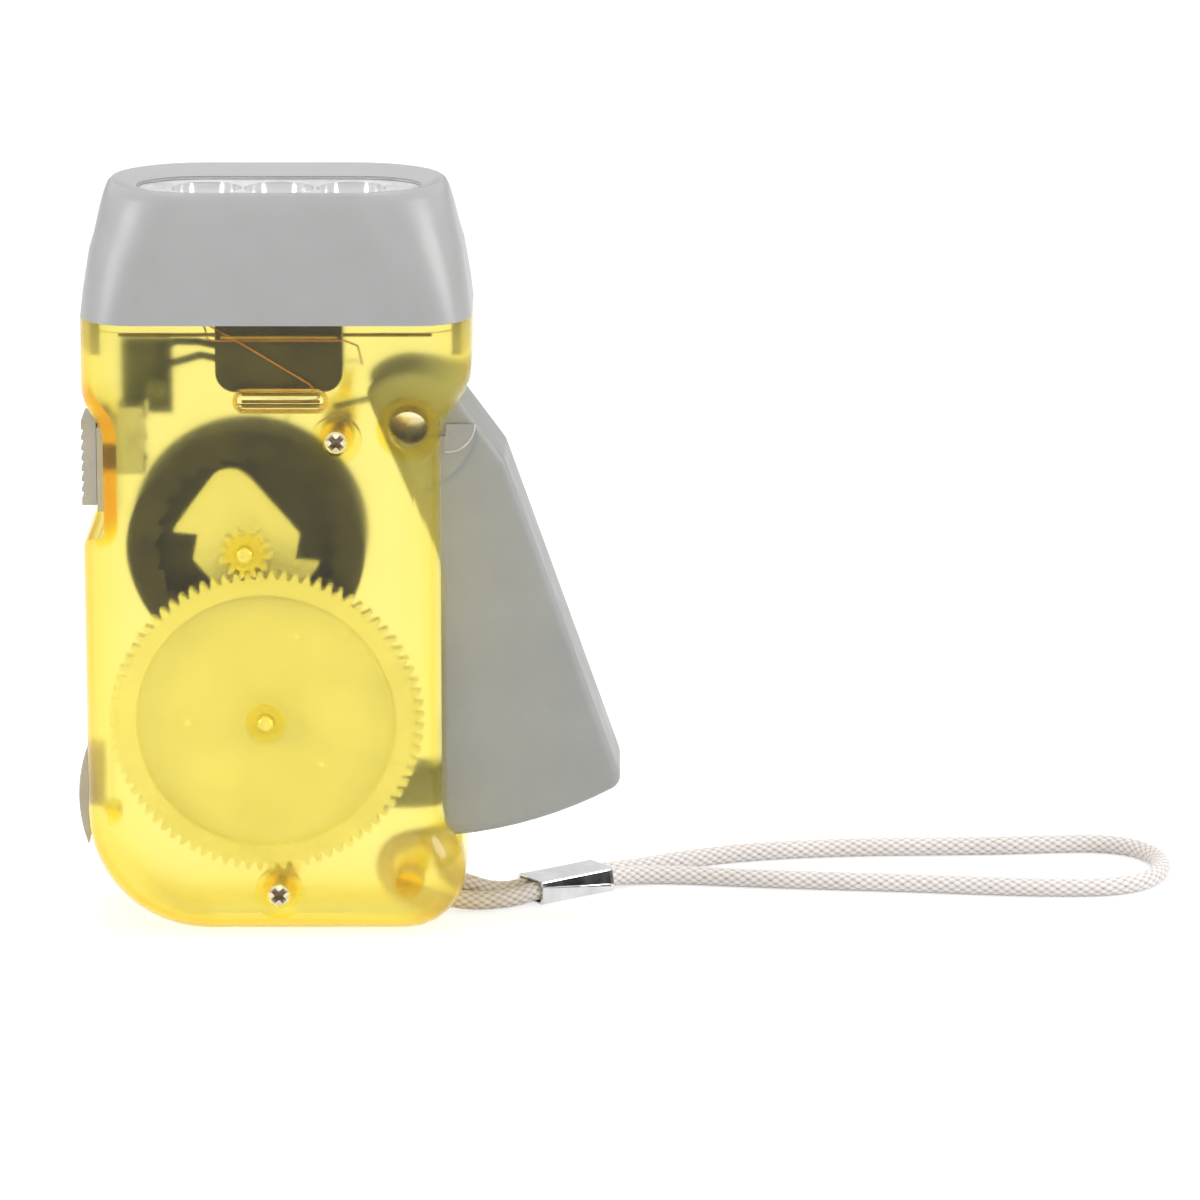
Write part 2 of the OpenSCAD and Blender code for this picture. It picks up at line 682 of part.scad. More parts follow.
LEVER_ARCS = [for (a = [
    [0, 0, lever_end_r, tail_angle, tip_angle, 8, 1],
    [tip_c[0], tip_c[1], lever_tip_r, tip_angle, lever_back_slope, 5, 1],
    [bend_c[0], bend_c[1], shoulder_bend_r, lever_back_slope, head_tangent, 2, 1],
    [0, 0, head_r, head_tangent, heel_angle, 8, 1],
    [heel_c[0], heel_c[1], heel_r, heel_angle, inner_edge_dir, 3, 1],
    [waist_c[0], waist_c[1], waist_bend_r, inner_edge_dir - 180, 0, 3, -1],
    [tail_c[0], tail_c[1], lever_corner_r, 180, 360 + tail_angle, 4, 1]
]) [a[0] + pivot_x, a[1] + pivot_z, a[2], a[3], a[4], a[5], a[6]]];
lever_middle_shares = [0.22, -0.47];
lever_middle = [pivot_x, pivot_z] + lever_end_r * lever_middle_shares;

// Sector: toothed band on the middle plane, about the pivot, angles from straight down towards the right
sector_half = 1.8;
sector_tip_share = 0.55;
sector_root_share = 1.25;
band_in_r = slow_m * (sector_teeth / 2 - sector_tip_share);
band_root_r = slow_m * (sector_teeth / 2 + sector_root_share);
band_out_r = 53.5;
band_lead = -28;
band_web = 3;
web_in_r = 42;
web_end = 29;
pad_r = 8.8;
pad_z = pivot_z - 1.7;

// Involute flank: angle from the middle of the tooth at radius r
pressure = 20;
function inv(a) = tan(a) * 180 / PI - a;
function tooth_half(r, m, n, play) = let (rp = m * n / 2, rb = rp * cos(pressure))
    quarter * (1 - play / (PI * m)) / n + inv(pressure) - inv(acos(min(1, rb / max(r, rb))));
// Outline of a gear with n teeth, with the first tooth towards angle a0
function gear_points(m, n, tip, root, play, a0) = let (rp = m * n / 2, rb = rp * cos(pressure),
    rs = [max(root, rb), (max(root, rb) + rp) / 2, rp, (rp + tip) / 2, tip])
    [for (k = [0:n - 1]) let (c = a0 + 360 * k / n) each concat(
        root < rb ? [[root, c - tooth_half(rb, m, n, play)]] : [],
        [for (r = rs) [r, c - tooth_half(r, m, n, play)]],
        [for (i = [len(rs) - 1:-1:0]) [rs[i], c + tooth_half(rs[i], m, n, play)]],
        root < rb ? [[root, c + tooth_half(rb, m, n, play)]] : []
    )];
function polar(list) = [for (p = list) [p[0] * cos(p[1]), p[0] * sin(p[1])]];

module pie(r0, r1, a0, a1, steps = 24) {
    polygon(polar(concat(
        [for (i = [0:steps]) [r1, a0 + (a1 - a0) * i / steps]],
        [for (i = [steps:-1:0]) [r0, a0 + (a1 - a0) * i / steps]]
    )));
}

module lever() {
    color(grey_plastic) {
        difference() {
            union() {
                pillow(LEVER_ARCS, lever_middle, -cheek, cheek, lever_edge_r, 0, 3);
                slab(-cheek - pad_t, lever_wall / 2 - cheek) intersection() {
                    polygon(outline(LEVER_ARCS, lever_edge_r + slip_gap));
                    translate([pivot_x, pivot_z]) circle(pad_r);
                    translate([pivot_x - pad_r, pad_z - 2 * pad_r]) square(2 * pad_r);
                }
            }
            slab(lever_wall - cheek, cheek - lever_wall) {
                polygon(outline(LEVER_ARCS, lever_wall));
                translate([-2 * lever_wall, 0]) polygon(outline(LEVER_ARCS, lever_wall));
            }
            rod(pivot_x, pivot_z, -half_depth, half_depth, pivot_r + run_gap);
        }
        slab(-sector_half, sector_half) translate([pivot_x, pivot_z]) {
            difference() {
                pie(band_in_r, band_out_r, band_lead - 90, band_web - 90);
                polygon(polar(gear_points(slow_m, sector_teeth, band_root_r, band_in_r - over, -backlash,
                    -90 - gear_dir)));
            }
            pie(web_in_r, lever_end_r - lever_wall / 2, band_web - 90, web_end - 90);
        }
    }
}

// Large gear, dished, with the small pinion on its hub
gear_tip_share = 0.8;
gear_root_share = 1.25;
gear_tip = fast_m * (large_teeth / 2 + gear_tip_share);
gear_root = fast_m * (large_teeth / 2 - gear_root_share);
small_tip_share = 0.8;
small_root_share = 1.1;
gear_rim = 2.2;
gear_web_t = 1.1;
hub_r = 2.6;
pinion_tip_share = 1;
pinion_root_share = 1.2;
pinion_tip = fast_m * (pinion_teeth / 2 + pinion_tip_share);
pinion_root = fast_m * (pinion_teeth / 2 - pinion_root_share);
mesh_dir = fly_dir;
mark_r = 0.7;
mark_at = 12.2;
mark_dirs = [28, 148, 268];

module drive_gear() {
    color(nylon) difference() {
        union() {
            slab(gear_y0, gear_y1) translate([gear_x, gear_z])
                polygon(polar(gear_points(fast_m, large_teeth, gear_tip, gear_root, backlash, mesh_dir)));
            rod(gear_x, gear_z, gear_y0, -small_y + over, hub_r);
            slab(-small_y, small_y) translate([gear_x, gear_z])
                polygon(polar(gear_points(slow_m, small_teeth, slow_m * (small_teeth / 2 + small_tip_share),
                    slow_m * (small_teeth / 2 - small_root_share), backlash, -90 - gear_dir)));
        }
        difference() {
            rod(gear_x, gear_z, gear_y0 - over, gear_y1 - gear_web_t, gear_root - gear_rim);
            rod(gear_x, gear_z, gear_y0 - 2 * over, gear_y1, hub_r);
        }
        for (a = mark_dirs)
            rod(gear_x + mark_at * cos(a), gear_z + mark_at * sin(a), gear_y1 - gear_web_t / 2, gear_y1 + over, mark_r);
        rod(gear_x, gear_z, -half_depth, half_depth, axle_r + run_gap);
    }
}

module gear_axle() {
    color(steel) rod(gear_x, gear_z, dy_front, half_depth - wall, axle_r);
}

// Flywheel pinion with its two-clawed drive plate
claw_half_shares = [
    [-0.9, 0.19], [-0.86, 0.28], [-0.42, 0.88], [-0.33, 0.96], [-0.2, 0.99], [-0.08, 0.97],
    [0.05, 0.87], [0.66, 0.16], [0.6, -0.16]
];
claw_r = 10.7;

module pinion_pawl() {
    color(nylon) difference() {
        union() {
            slab(gear_y0 - slip_gap, gear_y1 + slip_gap) translate([fly_x, fly_z])
                polygon(polar(gear_points(fast_m, pinion_teeth, pinion_tip, pinion_root, backlash,
                    mesh_dir + 180 + 180 / pinion_teeth)));
            rod(fly_x, fly_z, gear_y1, carrier_y0 + over, pinion_root);
            slab(carrier_y0, carrier_y1) translate([fly_x, fly_z]) polygon([
                for (s = [1, -1]) each [for (p = claw_half_shares) [s * p[0] * claw_r, s * p[1] * claw_r]]
            ]);
        }
        rod(fly_x, fly_z, -half_depth, half_depth, axle_r + run_gap);
    }
}

module flywheel_axle() {
    color(steel) rod(fly_x, fly_z, dy_front, half_depth - wall, axle_r);
}

// Flywheel: a cup with a ratchet recess in front and a hub behind
fly_rim = 2.4;
fly_recess_r = 11.4;
ratchet_teeth = 24;
ratchet_deep = 0.8;
web_y0 = fly_y0 + 2.3;
web_y1 = web_y0 + 1.2;
fly_hub_r = 3;
magnet_r = 6;
magnet_y1 = web_y1 + 7.3;

module flywheel() {
    color(dark_metal) difference() {
        rod(fly_x, fly_z, fly_y0, fly_y1, fly_r);
        rod(fly_x, fly_z, fly_y0 - over, web_y0, fly_recess_r);
        slab(fly_y0 - over, web_y0) translate([fly_x, fly_z]) polygon(polar([
            for (k = [0:ratchet_teeth - 1]) each [
                [fly_recess_r - ratchet_deep / 4, 360 * k / ratchet_teeth],
                [fly_recess_r + ratchet_deep, 360 * (k + 1) / ratchet_teeth]
            ]
        ]));
        difference() {
            rod(fly_x, fly_z, web_y1, fly_y1 + over, fly_r - fly_rim);
            rod(fly_x, fly_z, web_y1 - over, fly_y1 - run_gap, fly_hub_r);
        }
        rod(fly_x, fly_z, -half_depth, half_depth, axle_r + run_gap);
    }
}

module magnet_ring() {
    color([0.25, 0.25, 0.27]) tube(fly_x, fly_z, web_y1, magnet_y1, magnet_r, fly_hub_r);
}

// Claw-pole stator and coil, carried by the rear shell inside the flywheel
claw_gap = 0.5;
plate_r = 12.6;
plate_thick = 0.8;
claw_t = 0.7;
claws = 6;
stator_y0 = web_y1 + 0.6;
stator_y1 = stator_y0 + 8.9;
claw_in = magnet_r + claw_gap;
bobbin_in = claw_in + claw_t + run_gap;
bobbin_t = 0.7;
stator_gap = 0.4;
stator_post_at = 10.8;
stator_post_r = 1.6;
stator_post_dirs = [30, 150, 270];
claw_half_angle = 12;

module stator_plate(y0, y1, claw_y0, claw_y1, turn) {
    color(steel) {
        tube(fly_x, fly_z, y0, y1, plate_r, claw_in);
        for (k = [0:claws - 1]) slab(claw_y0, claw_y1) translate([fly_x, fly_z])
            pie(claw_in + run_gap, claw_in + claw_t, turn + 360 * k / claws - claw_half_angle,
                turn + 360 * k / claws + claw_half_angle, 4);
    }
}
module stator_front() stator_plate(stator_y0, stator_y0 + plate_thick, stator_y0,
    stator_y1 - plate_thick - slip_gap, 0);
module stator_rear() stator_plate(stator_y1 - plate_thick, stator_y1,
    stator_y0 + plate_thick + slip_gap, stator_y1, 180 / claws);

module coil_bobbin() {
    y0 = stator_y0 + plate_thick;
    y1 = stator_y1 - plate_thick;
    color([0.92, 0.92, 0.9]) {
        tube(fly_x, fly_z, y0, y1, bobbin_in + bobbin_t, bobbin_in);
        for (y = [y0, y1 - bobbin_t]) tube(fly_x, fly_z, y, y + bobbin_t, plate_r, bobbin_in);
    }
}

module coil_winding() {
    y0 = stator_y0 + plate_thick + bobbin_t;
    y1 = stator_y1 - plate_thick - bobbin_t;
    color(copper) tube(fly_x, fly_z, y0, y1, plate_r - bobbin_t, bobbin_in + bobbin_t);
}

// Sweep of a round section along a route, with n sides
function unit(v) = v / norm(v);
function side_of(t) = let (up = abs(t[2]) > 0.9 ? [0, 1, 0] : [0, 0, 1]) unit(cross(up, t));
function carried(s, t) = unit(s - (s * t) * t);
function route_frames(pts, k, s) = k == len(pts) ? [] : let (
    t = unit(pts[min(k + 1, len(pts) - 1)] - pts[max(k - 1, 0)]),
    now = k == 0 ? side_of(t) : carried(s, t)) concat([[t, now]], route_frames(pts, k + 1, now));
module sweep(pts, d, sides) {
    frames = route_frames(pts, 0, [1, 0, 0]);
    skin([for (k = [len(pts) - 1:-1:0]) let (t = frames[k][0], u = frames[k][1], v = cross(t, u))
        [for (i = [0:sides - 1]) let (a = 360 * (i + 0.5) / sides) pts[k] + d / 2 * (cos(a) * u + sin(a) * v)]]);
}

// Torsion spring of the lever, wound round the pivot post between the cheeks
spring_wire = 0.8;
spring_r = pivot_r + 1.1;
spring_turns = 4;
spring_pitch = 1.5;
spring_y0 = -3;
spring_in_dir = 102.7;
spring_out_dir = 38.4;
spring_in_leg = 9.4;
spring_out_leg = 14.4;
turn_rings = 12;
spring_post = [pivot_x - 8.5, pivot_z + 3.45];
spring_post_r = 0.9;
spring_post_y = -3.8;

spring_sweep = 360 * spring_turns + spring_in_dir - spring_out_dir;
spring_rings = round(spring_sweep * turn_rings / 360);
spring_coil = [for (i = [0:spring_rings]) let (a = spring_in_dir - spring_sweep * i / spring_rings)
    [pivot_x + spring_r * cos(a), spring_y0 + spring_pitch * spring_sweep / 360 * i / spring_rings,
        pivot_z + spring_r * sin(a)]];
spring_in_way = [-sin(spring_in_dir), 0, cos(spring_in_dir)];
spring_out_way = [sin(spring_out_dir), 0, -cos(spring_out_dir)];
spring_route = concat(
    [spring_coil[0] + spring_in_leg * spring_in_way, spring_coil[0] + spring_wire * spring_in_way],
    spring_coil,
    [spring_coil[spring_rings] + spring_wire * spring_out_way,
        spring_coil[spring_rings] + spring_out_leg * spring_out_way]
);

module lever_spring() {
    color(steel) sweep(spring_route, spring_wire, 6);
}

// Least gap of the spring to itself, on its ring points more than half a turn apart
spring_gap = min([for (i = [0:spring_rings], j = [i + turn_rings / 2:1:spring_rings])
    norm(spring_coil[i] - spring_coil[j]) - spring_wire]);
echo(spring_least_gap = spring_gap);

// Copper leads from the coil up to the lamp board, past the front of the battery, measured from the seam
lead_d = 0.25;
lead_routes = [
    [
        [-9.4, -11.2, 2], [-8.6, -12.1, -0.4], [-5.4, -12.5, -2.1], [4.2, -12.5, -8], [5.6, -12.1, -9.7],
        [5, -9, -10.8], [2, -4, -12], [-1, 3, -12.5], [-3, 7.5, -14.5], [-4, 8.2, -18.5], [-4.6, 6.8, -21.5]
    ],
    [
        [-10.4, -10.6, 2], [-9.2, -11.5, -1.1], [-9, -11.9, -2.1], [-8.4, -12.2, -2.3], [8.9, -12.2, -2.3],
        [10.6, -11, -3.2],
        [11, -6, -6.5], [10, 3, -7.6], [5.4, 8.6, -8.8], [1.4, 9, -14], [-1.4, 6.8, -21.5]
    ]
];

function from_seam(route) = [for (p = route) p + [0, 0, seam_z]];

module coil_leads() {
    color(copper) for (route = lead_routes) sweep(from_seam(route), lead_d, 6);
}

// Insulated leads from the battery to the switch board
wire_d = 1;
wire_routes = [
    [[-8.1, -7, -3.8], [-10.4, -7.2, -3.3], [-13.4, -5, -3.6], [-15.2, -1, -5], [-15.6, 1.6, -5.8]],
    [[-8.1, -5.6, -5.8], [-10.2, -5.4, -5.4], [-13.2, -2.6, -6.7], [-15.4, 0, -7.7], [-15.8, 1.6, -8]]
];

module battery_leads() {
    color([0.15, 0.13, 0.12]) for (route = wire_routes) sweep(from_seam(route), wire_d, 6);
}

module case_screws() {
    head_t = 1.2;
    cross_half = 0.35;
    cross_share = 0.8;
    color(steel) for (p = screw_at) difference() {
        union() {
            rod(p[0], p[1], screw_seat_y - head_t, screw_seat_y, screw_head_r);
            rod(p[0], p[1], screw_seat_y - over / 2, screw_tip_y, pilot_r);
        }
        for (turn = [45, 135]) translate([p[0], screw_seat_y - head_t, p[1]]) rotate([0, turn, 0])
            cube([2 * screw_head_r * cross_share, head_t, cross_half], center = true);
    }
}

// Strap: round the post inside, out at the corner, through the crimp and round
crimp_at = [32.7, 4.2, 1.7];
crimp_dir = 36.2;
crimp_h = cord_d + 2 * crimp_t;
crimp_w = 2 * cord_d + 2 * crimp_t + loose_gap;
crimp_fold = 1.1;
loop_r = strap_post_r + cord_d / 2 + slip_gap;
loop_steps = 7;

strap_start = [22.6, 1.4, 3.9];
strap_end = [22.6, -1.4, 2];
strap_route = [
    strap_start, [24.6, 1.9, 3.1], [27, 2.8, 2.1], [29.5, 4, 1.6], [31.9, 5.3, 1.7],
    [36.8, 8.8, 1.7], [41.6, 12.3, 1.7], [48, 16.9, 1.3], [55, 21, 1.3], [62, 23.9, 1.3], [70, 25.8, 1.3],
    [79, 26.8, 1.3], [88, 27.2, 1.3], [97, 27.6, 1.3], [105, 28.4, 1.3], [111, 28.6, 1.3], [115.5, 26.8, 1.3],
    [118.4, 22.8, 1.3], [119.2, 18, 1.3], [118.2, 13, 1.3], [115.4, 9, 1.3], [110.5, 6.8, 1.3],
    [103, 6.5, 1.3], [95, 7.2, 1.3], [86, 8.4, 1.3], [77, 9.4, 1.3], [68, 10.4, 1.3], [60, 11.5, 1.3],
    [53, 12.5, 1.3], [47.5, 12.2, 1.4], [43.2, 10.2, 1.7], [38.3, 6.7, 1.7], [33.5, 3.2, 1.7],
    [30.8, 1.2, 1.5], [28, -0.2, 1.5], [25.3, -1, 1.6], strap_end
];
strap_loop_route = concat(
    [strap_end, [20, -1.4, 2.6]],
    [for (i = [0:loop_steps]) let (a = -90 - 270 * i / loop_steps)
        [strap_post[0] + loop_r * cos(a), strap_end[1] + (strap_start[1] - strap_end[1]) * i / loop_steps,
            strap_post[1] + loop_r * sin(a)]],
    [[20.8, 1.4, 5], strap_start]
);

module strap_loop() {
    color(cord_white) sweep(strap_loop_route, cord_d, 8);
}

module strap_cord() {
    color(cord_white) sweep(strap_route, cord_d, 8);
}

module strap_crimp() {
    lip = crimp_t + slip_gap;
    color(steel) translate(crimp_at) rotate([90, 0, 90 + crimp_dir]) difference() {
        union() {
            linear_extrude(crimp_len) difference() {
                round_plate([-crimp_w / 2, -crimp_h / 2], [crimp_w / 2, crimp_h / 2], crimp_fold);
                round_plate([crimp_t - crimp_w / 2, crimp_t - crimp_h / 2],
                    [crimp_w / 2 - crimp_t, crimp_h / 2 - crimp_t], crimp_fold - crimp_t);
            }
        }
        translate([-crimp_w / 2 + crimp_fold, crimp_h / 2 - lip / 2, crimp_len / 2])
            cube([slip_gap, 2 * lip, crimp_len + 2 * over], center = true);
    }
}

front_shell();
rear_shell();
head_cover();
lens();
reflector();
led_1();
led_2();
led_3();
led_board();
battery_pack();
switch_body();
switch_board();
switch_plate();
switch_knob();
lock_button();
lever();
lever_spring();
drive_gear();
gear_axle();
pinion_pawl();
flywheel_axle();
flywheel();
magnet_ring();
stator_front();
stator_rear();
coil_bobbin();
coil_winding();
coil_leads();
battery_leads();
case_screws();
strap_loop();
strap_cord();
strap_crimp();
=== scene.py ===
# Hand-press dynamo flashlight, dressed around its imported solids
import json
import math
import bmesh
import bpy
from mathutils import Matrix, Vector


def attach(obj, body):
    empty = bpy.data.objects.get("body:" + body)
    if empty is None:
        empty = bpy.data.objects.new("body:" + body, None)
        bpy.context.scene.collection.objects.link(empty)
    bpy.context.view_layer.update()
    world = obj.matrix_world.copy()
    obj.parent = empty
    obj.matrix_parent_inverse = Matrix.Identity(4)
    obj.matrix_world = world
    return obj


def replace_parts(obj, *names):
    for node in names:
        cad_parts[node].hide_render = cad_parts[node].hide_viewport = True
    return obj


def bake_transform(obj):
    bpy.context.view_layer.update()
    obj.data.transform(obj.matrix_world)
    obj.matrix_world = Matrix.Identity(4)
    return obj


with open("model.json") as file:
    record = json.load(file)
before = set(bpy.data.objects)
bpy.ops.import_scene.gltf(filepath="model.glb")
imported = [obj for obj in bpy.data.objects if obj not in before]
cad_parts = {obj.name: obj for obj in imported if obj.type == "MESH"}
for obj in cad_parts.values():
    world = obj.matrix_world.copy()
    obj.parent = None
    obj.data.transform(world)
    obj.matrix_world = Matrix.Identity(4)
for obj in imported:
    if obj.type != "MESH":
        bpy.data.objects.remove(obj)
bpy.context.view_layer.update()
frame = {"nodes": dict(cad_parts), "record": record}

# Camera
# A long lens, close to a metre in front and a little above, as the photograph
# is framed: the light stands at the left and its strap runs out to the right.
camera_data = bpy.data.cameras.new("camera")
camera_data.lens = 205.74
camera_data.sensor_width = 36
camera_data.clip_start = 0.05
camera = bpy.data.objects.new("camera", camera_data)
camera.location = (0.0422, -0.88913, 0.2564)
camera.rotation_euler = (math.radians(76.5), 0, 0)
bpy.context.scene.collection.objects.link(camera)
bpy.context.scene.camera = camera

# Wrist strap
# One length of soft off-white braided cord, looped round a post inside the
# foot of the case. Two sets of eight plies cross over and under each other.
mm = 0.001
strap_diameter = 2.6 * mm
strap_route = [
    (22.6, 1.4, 3.9), (24.6, 1.9, 3.1), (27, 2.8, 2.1), (29.5, 4, 1.6), (31.9, 5.3, 1.7), (36.8, 8.8, 1.7),
    (41.6, 12.3, 1.7), (48, 16.9, 1.3), (55, 21, 1.3), (62, 23.9, 1.3), (70, 25.8, 1.3), (79, 26.8, 1.3),
    (88, 27.2, 1.3), (97, 27.6, 1.3), (105, 28.4, 1.3), (111, 28.6, 1.3), (115.5, 26.8, 1.3), (118.4, 22.8, 1.3),
    (119.2, 18, 1.3), (118.2, 13, 1.3), (115.4, 9, 1.3), (110.5, 6.8, 1.3), (103, 6.5, 1.3), (95, 7.2, 1.3),
    (86, 8.4, 1.3), (77, 9.4, 1.3), (68, 10.4, 1.3), (60, 11.5, 1.3), (53, 12.5, 1.3), (47.5, 12.2, 1.4),
    (43.2, 10.2, 1.7), (38.3, 6.7, 1.7), (33.5, 3.2, 1.7), (30.8, 1.2, 1.5), (28, -0.2, 1.5), (25.3, -1, 1.6),
    (22.6, -1.4, 2)]
post_x, post_z, post_turn_radius, post_turns_back, loop_side = 16.7, 6.9, 3.35, 7, 1.4
strap_round_post = [(20, -1.4, 2.6)]
for step in range(post_turns_back + 1):
    angle = math.radians(-90 - 270 * step / post_turns_back)
    strap_round_post.append((post_x + post_turn_radius * math.cos(angle),
                             -loop_side + 2 * loop_side * step / post_turns_back,
                             post_z + post_turn_radius * math.sin(angle)))
strap_round_post += [(20.8, 1.4, 5), (22.6, 1.4, 3.9)]


def flowing_line(points, spacing):
    """Points a constant step apart on a smooth curve through the given ones, and its length."""
    fine_steps = 24
    ends = [2 * points[0] - points[1]] + points + [2 * points[-1] - points[-2]]
    fine = []
    for i in range(1, len(ends) - 2):
        a, b, c, d = ends[i - 1:i + 3]
        for k in range(fine_steps):
            t = k / fine_steps
            fine.append(0.5 * (2 * b + (c - a) * t + (2 * a - 5 * b + 4 * c - d) * t ** 2
                               + (3 * b - a - 3 * c + d) * t ** 3))
    fine.append(points[-1].copy())
    far = [0.0]
    for a, b in zip(fine, fine[1:]):
        far.append(far[-1] + (b - a).length)
    count = max(2, round(far[-1] / spacing))
    line, j = [], 0
    for k in range(count + 1):
        goal = far[-1] * k / count
        while j < len(far) - 2 and far[j + 1] < goal:
            j += 1
        share = (goal - far[j]) / max(far[j + 1] - far[j], 1e-12)
        line.append(fine[j].lerp(fine[j + 1], min(1, share)))
    return line, far[-1]


def carried_frames(line):
    """A direction and two square ones at each point, turned no more than the line turns."""
    frames, side = [], Vector((0, 0, 1))
    for i, point in enumerate(line):
        ahead = (line[min(i + 1, len(line) - 1)] - line[max(i - 1, 0)]).normalized()
        side = (side - ahead * side.dot(ahead)).normalized()
        frames.append((ahead, side, ahead.cross(side)))
    return frames


def show_mesh(name, mesh, body, material):
    """A mesh as a named object that rides on a body of the frame."""
    piece = bpy.data.objects.new(name, mesh)
    bpy.context.scene.collection.objects.link(piece)
    piece.data.materials.clear()
    piece.data.materials.append(material)
    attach(piece, body)
    return piece


def tube_faces(sides, rings):
    """Faces that join rings of vertices, each ring to the next."""
    return [(i * sides + k, i * sides + (k + 1) % sides, (i + 1) * sides + (k + 1) % sides, (i + 1) * sides + k)
            for i in range(rings - 1) for k in range(sides)]


def end_fans(sides, rings):
    """Faces that close a tube's ends, round two middle vertices that come after its rings."""
    return [(middle,) + (first + k, first + (k + 1) % sides)[::order]
            for middle, first, order in ((sides * rings, 0, -1), (sides * rings + 1, sides * (rings - 1), 1))
            for k in range(sides)]


def round_rod(line, radius, sides, relief=None):
    """Vertices, faces and corner coordinates of a rod along a line, with closed ends."""
    verts, rings, gone = [], len(line), 0.0
    frames = carried_frames(line)
    for i, point in enumerate(line):
        if i:
            gone += (point - line[i - 1]).length
        ahead, up, side = frames[i]
        for k in range(sides):
            angle = math.tau * k / sides
            r = radius if relief is None else relief(angle, gone)
            verts.append(point + (up * math.cos(angle) + side * math.sin(angle)) * r)
    verts += [line[0].copy(), line[-1].copy()]
    corners = [((k, i), (k + 1, i), (k + 1, i + 1), (k, i + 1)) for i in range(rings - 1) for k in range(sides)]
    corners += [((k, end),) * 3 for end in (0, rings - 1) for k in range(sides)]
    return verts, tube_faces(sides, rings) + end_fans(sides, rings), corners


def plain_mesh(name, verts, faces, smooth=True):
    mesh = bpy.data.meshes.new(name)
    mesh.from_pydata([tuple(v) for v in verts], [], faces)
    mesh.polygons.foreach_set("use_smooth", [smooth] * len(mesh.polygons))
    mesh.update()
    return mesh


plies_each_way, ply_pitch, ply_relief = 8, 1.5 * mm, 0.34 * mm
strap_sides, ring_spacing = 60, 0.2 * mm


def braid_lift(angle, gone):
    """How high the braid stands at a place on the cord, from 0 in its gaps to 1."""
    a = plies_each_way * angle / math.tau + gone / ply_pitch
    b = plies_each_way * angle / math.tau - gone / ply_pitch
    over = math.cos(math.pi * (b - 0.5) + math.pi * math.floor(a))
    under = -math.cos(math.pi * (a - 0.5) + math.pi * math.floor(b))
    crown_a = math.sqrt(max(0, 1 - (2 * (a % 1) - 1) ** 2))
    crown_b = math.sqrt(max(0, 1 - (2 * (b % 1) - 1) ** 2))
    return max(0, min(1, max(0.6 * crown_a + 0.4 * over, 0.6 * crown_b + 0.4 * under)))


strap_points = [Vector(p) * mm for p in strap_route + strap_round_post[:-1]] + [Vector(strap_route[0]) * mm]
strap_line, strap_length = flowing_line(strap_points, ring_spacing)
for point in strap_line:
    point.z = max(point.z, strap_diameter / 2)
verts, faces, corners = round_rod(
    strap_line, strap_diameter / 2, strap_sides,
    lambda angle, gone: strap_diameter / 2 - ply_relief * (1 - braid_lift(angle, gone)))
strap_mesh = plain_mesh("wrist_strap", verts, faces)
strap_uv = strap_mesh.uv_layers.new(name="braid")
ring_step = strap_length / (len(strap_line) - 1)
strap_uv.data.foreach_set("uv", [
    value for face in corners for k, i in face
    for value in (k / strap_sides * plies_each_way, i * ring_step / ply_pitch)])
lift = strap_mesh.attributes.new("lift", "FLOAT", "POINT")
lift.data.foreach_set("value", [
    braid_lift(math.tau * (v % strap_sides) / strap_sides, ring_step * (v // strap_sides))
    if v < len(strap_line) * strap_sides else 0 for v in range(len(strap_mesh.vertices))])
# Near its two ends, where it runs in and out of the case, the cord is tinted warmer and darker, fading to its own
# colour over a short run.
tint_at_exit, tint_fade_run, tinted_return = 1.6, 26 * mm, 18 * mm
end_tint = strap_mesh.attributes.new("end_tint", "FLOAT", "POINT")
end_tint.data.foreach_set("value", [
    max(0, min(1, tint_at_exit - min(gone, strap_length - tinted_return - gone) / tint_fade_run * tint_at_exit))
    for gone in (ring_step * min(v // strap_sides, len(strap_line) - 1) for v in range(len(strap_mesh.vertices)))])


def shaded(name, colour, roughness, **sockets):
    """A material of one Principled shader, with the sockets that its finish needs."""
    material = bpy.data.materials.new(name)
    material.use_nodes = True
    shader = material.node_tree.nodes["Principled BSDF"]
    shader.inputs["Base Color"].default_value = (*colour, 1)
    shader.inputs["Roughness"].default_value = roughness
    for key, value in sockets.items():
        shader.inputs[key.replace("_", " ").title().replace("Ior", "IOR")].default_value = value
    material.diffuse_color = (*colour, 1)
    return material


def add_node(material, kind, inputs=None, **settings):
    node = material.node_tree.nodes.new("ShaderNode" + kind)
    for key, value in settings.items():
        setattr(node, key, value)
    for key, value in (inputs or {}).items():
        if isinstance(value, bpy.types.NodeSocket):
            material.node_tree.links.new(value, node.inputs[key])
        else:
            node.inputs[key].default_value = value
    return node


def object_place(material, stretch=(1, 1, 1)):
    """Object coordinates, stretched along the axes where a grain runs one way."""
    place = add_node(material, "TexCoord").outputs["Object"]
    return add_node(material, "Mapping", {"Vector": place, "Scale": stretch}).outputs["Vector"]


def wire(material, output, socket):
    shader = material.node_tree.nodes["Principled BSDF"]
    material.node_tree.links.new(output, shader.inputs[socket])


def uneven_gloss(material, size, low, high):
    """Roughness that drifts between two values, as handling and moulding leave it."""
    noise = add_node(material, "TexNoise", {"Vector": object_place(material), "Scale": 1 / size, "Detail": 3.0})
    spread = add_node(material, "MapRange", {"Value": noise.outputs["Fac"], "From Min": 0.3, "From Max": 0.7,
                                             "To Min": low, "To Max": high})
    wire(material, spread.outputs["Result"], "Roughness")


